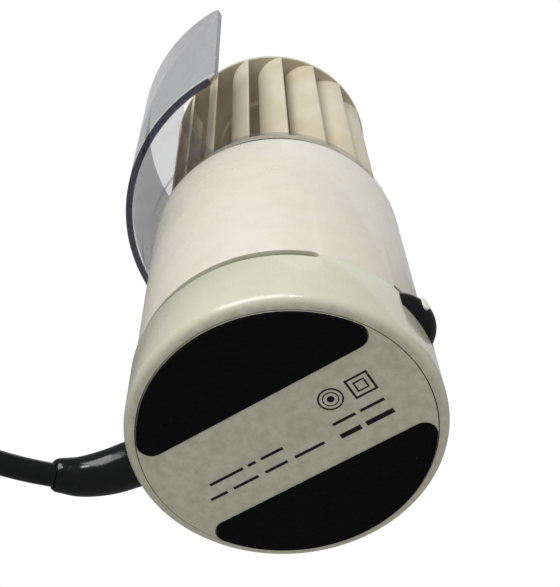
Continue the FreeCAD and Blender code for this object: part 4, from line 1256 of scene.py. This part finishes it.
@dataclass(frozen=True)
class MainsLead:
    """The lead with its strain relief, stored turns, tie and plug."""

    radius: float = 2.85
    azimuth: float = 158.0
    exit_z: float = 10.0
    flange_r: float = 7.2
    flange_u: tuple[float, float] = (33.0, 34.8)
    sleeve_straight: tuple[float, ...] = (33.2, 37.5, 40.5)
    sleeve_bend: tuple[tuple[float, float, float], ...] = ((-42.8, 16.9, 9.2), (-49.4, 16.6, 7.0))
    sleeve_aim: tuple[float, float, float] = (-49.4, 16.4, 7.0)
    sleeve_lip: tuple[float, ...] = (2.6, 1.9, 0.6, 0.05)
    sleeve_radii: tuple[float, ...] = (5.95, 5.95, 5.9, 5.7, 5.0, 4.3, 4.2, 4.0, 3.5)
    route: tuple[tuple[float, float, float], ...] = (
        (-56.0, 14.1, 4.9), (-67.7, 9.5, 2.9), (-81.0, 0.5, 2.9), (-96.5, -8.0, 2.9), (-113.0, -10.9, 2.9),
    )
    end_route: tuple[tuple[float, float, float], ...] = (
        (-78.1, 24.0, 10.2), (-77.9, 8.5, 9.3), (-80.5, -7.5, 9.2), (-88.0, -22.0, 8.3), (-100.5, -31.8, 7.3),
        (-115.5, -36.0, 6.9),
    )
    coil_centre: tuple[float, float] = (-113.0, 24.0)
    turn_radii: tuple[float, float] = (29.2, 34.9)
    pitch: float = 5.82
    per_turn: int = 24
    turns: float = 7.75
    step_in_at: float = 0.72
    step_length: float = 0.21
    wind_down_at: float = 5.0
    clearance: float = 0.05
    plug_azimuth: float = -164.4
    plug_width: float = 35.3
    plug_length: float = 36.0
    plug_height: float = 13.7
    plug_neck: float = 5.0
    shoulder_share: float = 0.4
    plug_side_round: float = 2.6
    plug_face_round: float = 2.2
    grip_slots: int = 5
    grip_from: float = 4.5
    grip_pitch: float = 2.6
    grip_out: float = 0.35
    grip_r: float = 0.8
    pin_pitch: float = 19.0
    pin_r: float = 2.0
    pin_length: float = 19.0
    tie_azimuth: float = 60.0
    tie_half_width: float = 4.0
    tie_thickness: float = 0.9
    tie_gap: float = 0.4
    tie_corner: float = 2.4
    tie_foot: float = 0.1
    layers: int = 5

    def turn_point(self, turn: float) -> Vector:
        """Return a point of the stored turns.

        The lead winds in along the table, climbs inside, steps out at the top and winds down outside.

        Args:
            turn: How many turns have been wound, from 0.

        Returns:
            The control point.
        """
        inner, outer = self.turn_radii
        rise = self.pitch * (self.layers - 1)

        def step(start: float, length: float) -> float:
            """Return how far a change that starts after some turns has gone, from 0 to 1."""
            t = min(max((turn - start) / length, 0.0), 1.0)
            return t * t * (3 - 2 * t)

        climb_from = self.step_in_at + self.step_length
        inward = step(self.step_in_at, self.step_length)
        outward = step(climb_from + self.layers - 1, self.step_length)
        radius = outer + (inner - outer) * (inward - outward)
        climb = min(max((turn - climb_from) / (self.layers - 1), 0.0), 1.0)
        descent = max(turn - self.wind_down_at, 0.0)
        z = self.radius + self.clearance + rise * climb - self.pitch * descent
        # The curve cuts inside its control points, and the swell makes up for that.
        swell = 1 / (0.5 + 0.5 * math.cos(math.pi / self.per_turn))
        angle = -90.0 - 360.0 * turn
        return Vector((*self.coil_centre, 0)) + polar(radius * swell, angle, z)

    def line(self) -> list[Vector]:
        """Return the lead's control points from the strain relief to the plug."""
        count = round(self.turns * self.per_turn)
        turns = [self.turn_point((k + 0.5) / self.per_turn) for k in range(count)]
        return [Vector(p) for p in self.route[:-1]] + turns + [Vector(p) for p in self.end_route[1:]]

    def spline_object(
        self, name: str, points: Sequence[Vector], radii: Sequence[float] | None = None
    ) -> bpy.types.Object:
        """Make a round NURBS curve through control points.

        Args:
            name: The object's name.
            points: The control points, in millimetres.
            radii: A radius for each point, in millimetres; the lead's own if left out.

        Returns:
            The curve object.
        """
        curve = bpy.data.curves.new(name, "CURVE")
        curve.dimensions = "3D"
        curve.resolution_u = 6
        curve.bevel_depth = MM if radii else self.radius * MM
        curve.bevel_resolution = 7
        curve.use_fill_caps = True
        spline = curve.splines.new("NURBS")
        spline.points.add(len(points) - 1)
        for k, (control, place) in enumerate(zip(spline.points, points)):
            control.co = (*(place * MM), 1.0)
            control.radius = radii[k] if radii else 1.0
        spline.order_u = 3
        spline.use_endpoint_u = True
        return put(name, curve)

    def build_relief(self) -> bpy.types.Object:
        """Build the tapered rubber sleeve with its rounded end lip."""
        straight = [polar(r, self.azimuth, self.exit_z) for r in self.sleeve_straight]
        tip = Vector(self.route[0])
        back = (Vector(self.sleeve_aim) - tip).normalized()
        lip = [tip + back * distance for distance in self.sleeve_lip]
        points = [*straight, *(Vector(p) for p in self.sleeve_bend), *lip]
        curve = self.spline_object("relief_curve", points, self.sleeve_radii)
        curve.data.resolution_u = 10
        curve.data.bevel_resolution = 10
        bpy.context.view_layer.update()
        mesh = bpy.data.meshes.new_from_object(curve)
        bpy.data.objects.remove(curve)
        shape = Shape.taken(mesh).tidy()
        bpy.data.meshes.remove(mesh)
        low, high = self.flange_u
        near, far = (polar(r, self.azimuth, self.exit_z) for r in (low, high))
        shape.combined([Shape().rod(self.flange_r, near, far, 64)], "UNION")
        return shape.piece("cord_sleeve", Body.HOUSING, [CORD], ["strain_relief"], 50.0)

    def build_tie(self) -> bpy.types.Object:
        """Build the flat tie that holds the stored turns."""
        inner, outer = self.turn_radii
        low_r, high_r = inner - self.radius - self.tie_gap, outer + self.radius + self.tie_gap
        top = 2 * self.radius * self.layers + self.tie_gap
        corner, foot = self.tie_corner, self.tie_foot

        def hoop(out: float) -> list[tuple]:
            """Return the line over the turns at a distance outside the tie's inner face."""
            return [
                (low_r - out, foot), *arc((low_r + corner, top - corner), corner + out, 180, 90, 8),
                *arc((high_r - corner, top - corner), corner + out, 90, 0, 8), (high_r + out, foot),
            ]

        outline = [*hoop(0.0), *hoop(self.tie_thickness)[::-1]]
        shape = Shape().slab(outline, -self.tie_half_width, self.tie_half_width)
        shape.moved(STOOD_UP)
        shape.soften(shape.corners(60.0), 0.2, 2)
        shape.turned(self.tie_azimuth, Vector((*self.coil_centre, 0))).tidy()
        return shape.piece("lead_tie", Body.HOUSING, [INNER_BLACK], ["coil_tie"])

    def at_plug(self, shape: Shape) -> Shape:
        """Put a shape built along +X at the end of the lead and return it."""
        x, y, _ = self.end_route[-1]
        return shape.turned(self.plug_azimuth, Vector((x, y, 0))).tidy()

    def build_plug(self) -> bpy.types.Object:
        """Build the moulded plug body, tapered to the lead, with finger slots down its sides."""
        half, length, height = self.plug_width / 2, self.plug_length, self.plug_height
        shoulder, neck = length * self.shoulder_share, self.plug_neck
        one_side = [(0.0, -neck), (shoulder, -half), (length, -half)]
        outline = [*one_side, *((x, -y) for x, y in one_side[::-1])]
        shape = Shape().slab(outline, 0.0, height)
        shape.soften(shape.upright_corners(15.0), self.plug_side_round, 8)
        shape.soften(shape.corners(60.0), self.plug_face_round, 6)
        cutters = []
        for k in range(self.grip_slots):
            x = shoulder + self.grip_from + self.grip_pitch * k
            for side in (-1, 1):
                y = side * (half + self.grip_out)
                slot_line = Vector((x, y, -1)), Vector((x, y, height + 1))
                cutters.append(Shape().rod(self.grip_r, *slot_line, 16))
        shape.combined(cutters)
        return self.at_plug(shape).piece("plug_shell", Body.HOUSING, [CORD], ["plug_body"])

    def build_pins(self) -> bpy.types.Object:
        """Build the two contact pins, rounded at their tips."""
        pins = Shape()
        start, end = self.plug_length, self.plug_length + self.pin_length
        nose = self.pin_r * 0.5
        tip = arc((self.pin_r - nose, end - nose), nose, 0, 90, 5)
        outline = [(0.0, start - 1), (self.pin_r, start - 1), *tip, (0.0, end)]
        for side in (-1, 1):
            pin = Shape().spin(outline, 40)
            across, up = side * self.pin_pitch / 2, self.plug_height / 2
            stand = Matrix(((0, 0, 1, 0), (0, 1, 0, across), (-1, 0, 0, up), (0, 0, 0, 1)))
            pins.add(pin.moved(stand))
        return self.at_plug(pins).piece("contact_pins", Body.HOUSING, [NICKEL], ["plug_pins"])

    def build_lead(self) -> bpy.types.Object:
        """Returns:
            The lead.
        """
        lead = self.spline_object("mains_lead", self.line())
        dress(lead, Body.HOUSING, [CORD], ["cord_run", "cord_coil", "cord_end"])
        return lead


# --- Studio --------------------------------------------------------------------------------


@dataclass(frozen=True)
class Studio:
    """Camera, soft lights, white surroundings and a pale floor."""

    camera_place: tuple[float, float, float] = (-0.0100, -0.1538, -0.1902)
    camera_right: tuple[float, float, float] = (0.99942, -0.01746, -0.02913)
    camera_up: tuple[float, float, float] = (0.0, -0.85770, 0.51415)
    lens: float = 64.2
    sensor: float = 36.0
    ambient: float = 0.55
    mirrored: float = 0.16
    floor_size: float = 3.0
    floor_drop: float = 0.0002
    lights: tuple[tuple[str, tuple[float, float, float], float, float, float], ...] = (
        ("key_light", (-0.35, -0.95, 0.25), 0.05, 0.7, 8.0),
        ("glint_light", (0.07, -1.0, 0.14), 0.05, 0.12, 1.2),
        ("top_light", (0.25, 0.15, 1.1), 0.08, 0.9, 1.2),
    )

    def build_camera(self) -> None:
        """Build the camera, below the base and looking up along the body."""
        data = bpy.data.cameras.new("camera")
        data.lens = self.lens
        data.sensor_width = self.sensor
        data.clip_start = 0.005
        item = put("camera", data)
        right, up = Vector(self.camera_right).normalized(), Vector(self.camera_up).normalized()
        back = right.cross(up).normalized()
        up = back.cross(right)
        turn = Matrix((right, up, back)).transposed().to_4x4()
        item.matrix_world = Matrix.Translation(self.camera_place) @ turn
        bpy.context.scene.camera = item

    def build_light(
        self, name: str, place: Sequence[float], aim: Sequence[float], size: float, power: float
    ) -> None:
        """Add one square soft light.

        Args:
            name: Its name.
            place: Where it stands, in metres.
            aim: What it faces.
            size: Its side.
            power: Its power in watts.
        """
        data = bpy.data.lights.new(name, "AREA")
        data.size = size
        data.energy = power
        item = put(name, data)
        item.location = place
        item.rotation_mode = "QUATERNION"
        item.rotation_quaternion = (Vector(aim) - Vector(place)).to_track_quat("-Z", "Y")

    def build_world(self) -> None:
        """Make the surroundings white to the eye, dimmer as a light and dimmest in reflections."""
        world = bpy.data.worlds.new("surroundings")
        world.use_nodes = True
        tree = world.node_tree
        tree.nodes.clear()
        path, seen, level, dimmed, back, end = (
            tree.nodes.new(f"ShaderNode{kind}")
            for kind in ("LightPath", "Math", "MapRange", "MapRange", "Background", "OutputWorld")
        )
        seen.operation = "MAXIMUM"
        dimmed.inputs["To Min"].default_value = self.ambient
        dimmed.inputs["To Max"].default_value = self.mirrored
        level.inputs["To Max"].default_value = 1.0
        back.inputs["Color"].default_value = (1.0, 1.0, 1.0, 1.0)
        for source, output, target, socket in (
            (path, "Is Camera Ray", seen, 0), (path, "Is Transmission Ray", seen, 1),
            (path, "Is Glossy Ray", dimmed, "Value"), (dimmed, 0, level, "To Min"),
            (seen, 0, level, "Value"), (level, 0, back, "Strength"), (back, 0, end, "Surface"),
        ):
            tree.links.new(source.outputs[output], target.inputs[socket])
        bpy.context.scene.world = world

    def build_floor(self) -> None:
        """Lay a pale floor that is clear from below, so that the underside stays lit and in view."""
        graph = Graph("floor_pale")
        facing = graph.node("ShaderNodeNewGeometry").outputs["Backfacing"]
        pale = graph.node("ShaderNodeBsdfDiffuse", None, {"Color": (0.82, 0.82, 0.81)})
        clear = graph.node("ShaderNodeBsdfTransparent")
        mixed = graph.node("ShaderNodeMixShader", None, {0: facing, 1: pale.outputs[0], 2: clear.outputs[0]})
        graph.node("ShaderNodeOutputMaterial", None, {"Surface": mixed.outputs[0]})
        mesh = bpy.data.meshes.new("floor")
        bm = bmesh.new()
        bmesh.ops.create_grid(bm, x_segments=1, y_segments=1, size=self.floor_size / 2)
        bmesh.ops.translate(bm, verts=bm.verts, vec=(0, 0, -self.floor_drop))
        bm.to_mesh(mesh)
        bm.free()
        mesh.materials.append(graph.material)
        item = put("floor", mesh)
        item.visible_shadow = False
        item.visible_diffuse = False
        item.visible_glossy = False
        item.visible_transmission = False

    def build(self) -> None:
        """Build the whole studio; a light is its name, place, aim's height, side and power."""
        self.build_camera()
        self.build_world()
        self.build_floor()
        for name, place, aim_z, size, power in self.lights:
            self.build_light(name, place, (0.0, 0.0, aim_z), size, power)
        bpy.context.scene.view_settings.view_transform = "Standard"


def main() -> None:
    """Build every sub-assembly in order, dress the frame's inner pieces and set up the studio."""
    logging.basicConfig(level=logging.INFO, format="%(message)s")
    Studio().build()
    lead = MainsLead()
    fittings = [lead.build_relief(), lead.build_tie(), lead.build_plug(), lead.build_pins()]
    lead.build_lead()
    housing = Housing()
    housing.build_upper()
    housing.build_base()
    underside = Underside()
    underside.build_plate()
    for end, azimuth in zip(("front", "rear"), underside.azimuths):
        underside.build_pad(end, azimuth)
    underside.build_marks()
    switch = ThumbSwitch()
    switch.build_wheel()
    switch.build_dot()
    AirGuide().build(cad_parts["air_guide"])
    drum = Drum()
    drum.build_floor()
    drum.build_top()
    drum.build_blades()
    for finish, nodes in CAD_FINISHES.items():
        for node in nodes:
            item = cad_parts[node]
            item.data.materials.clear()
            item.data.materials.append(finish.material())
    log.info("dressed %d inner nodes", sum(len(nodes) for nodes in CAD_FINISHES.values()))


if __name__ == "__main__":
    main()
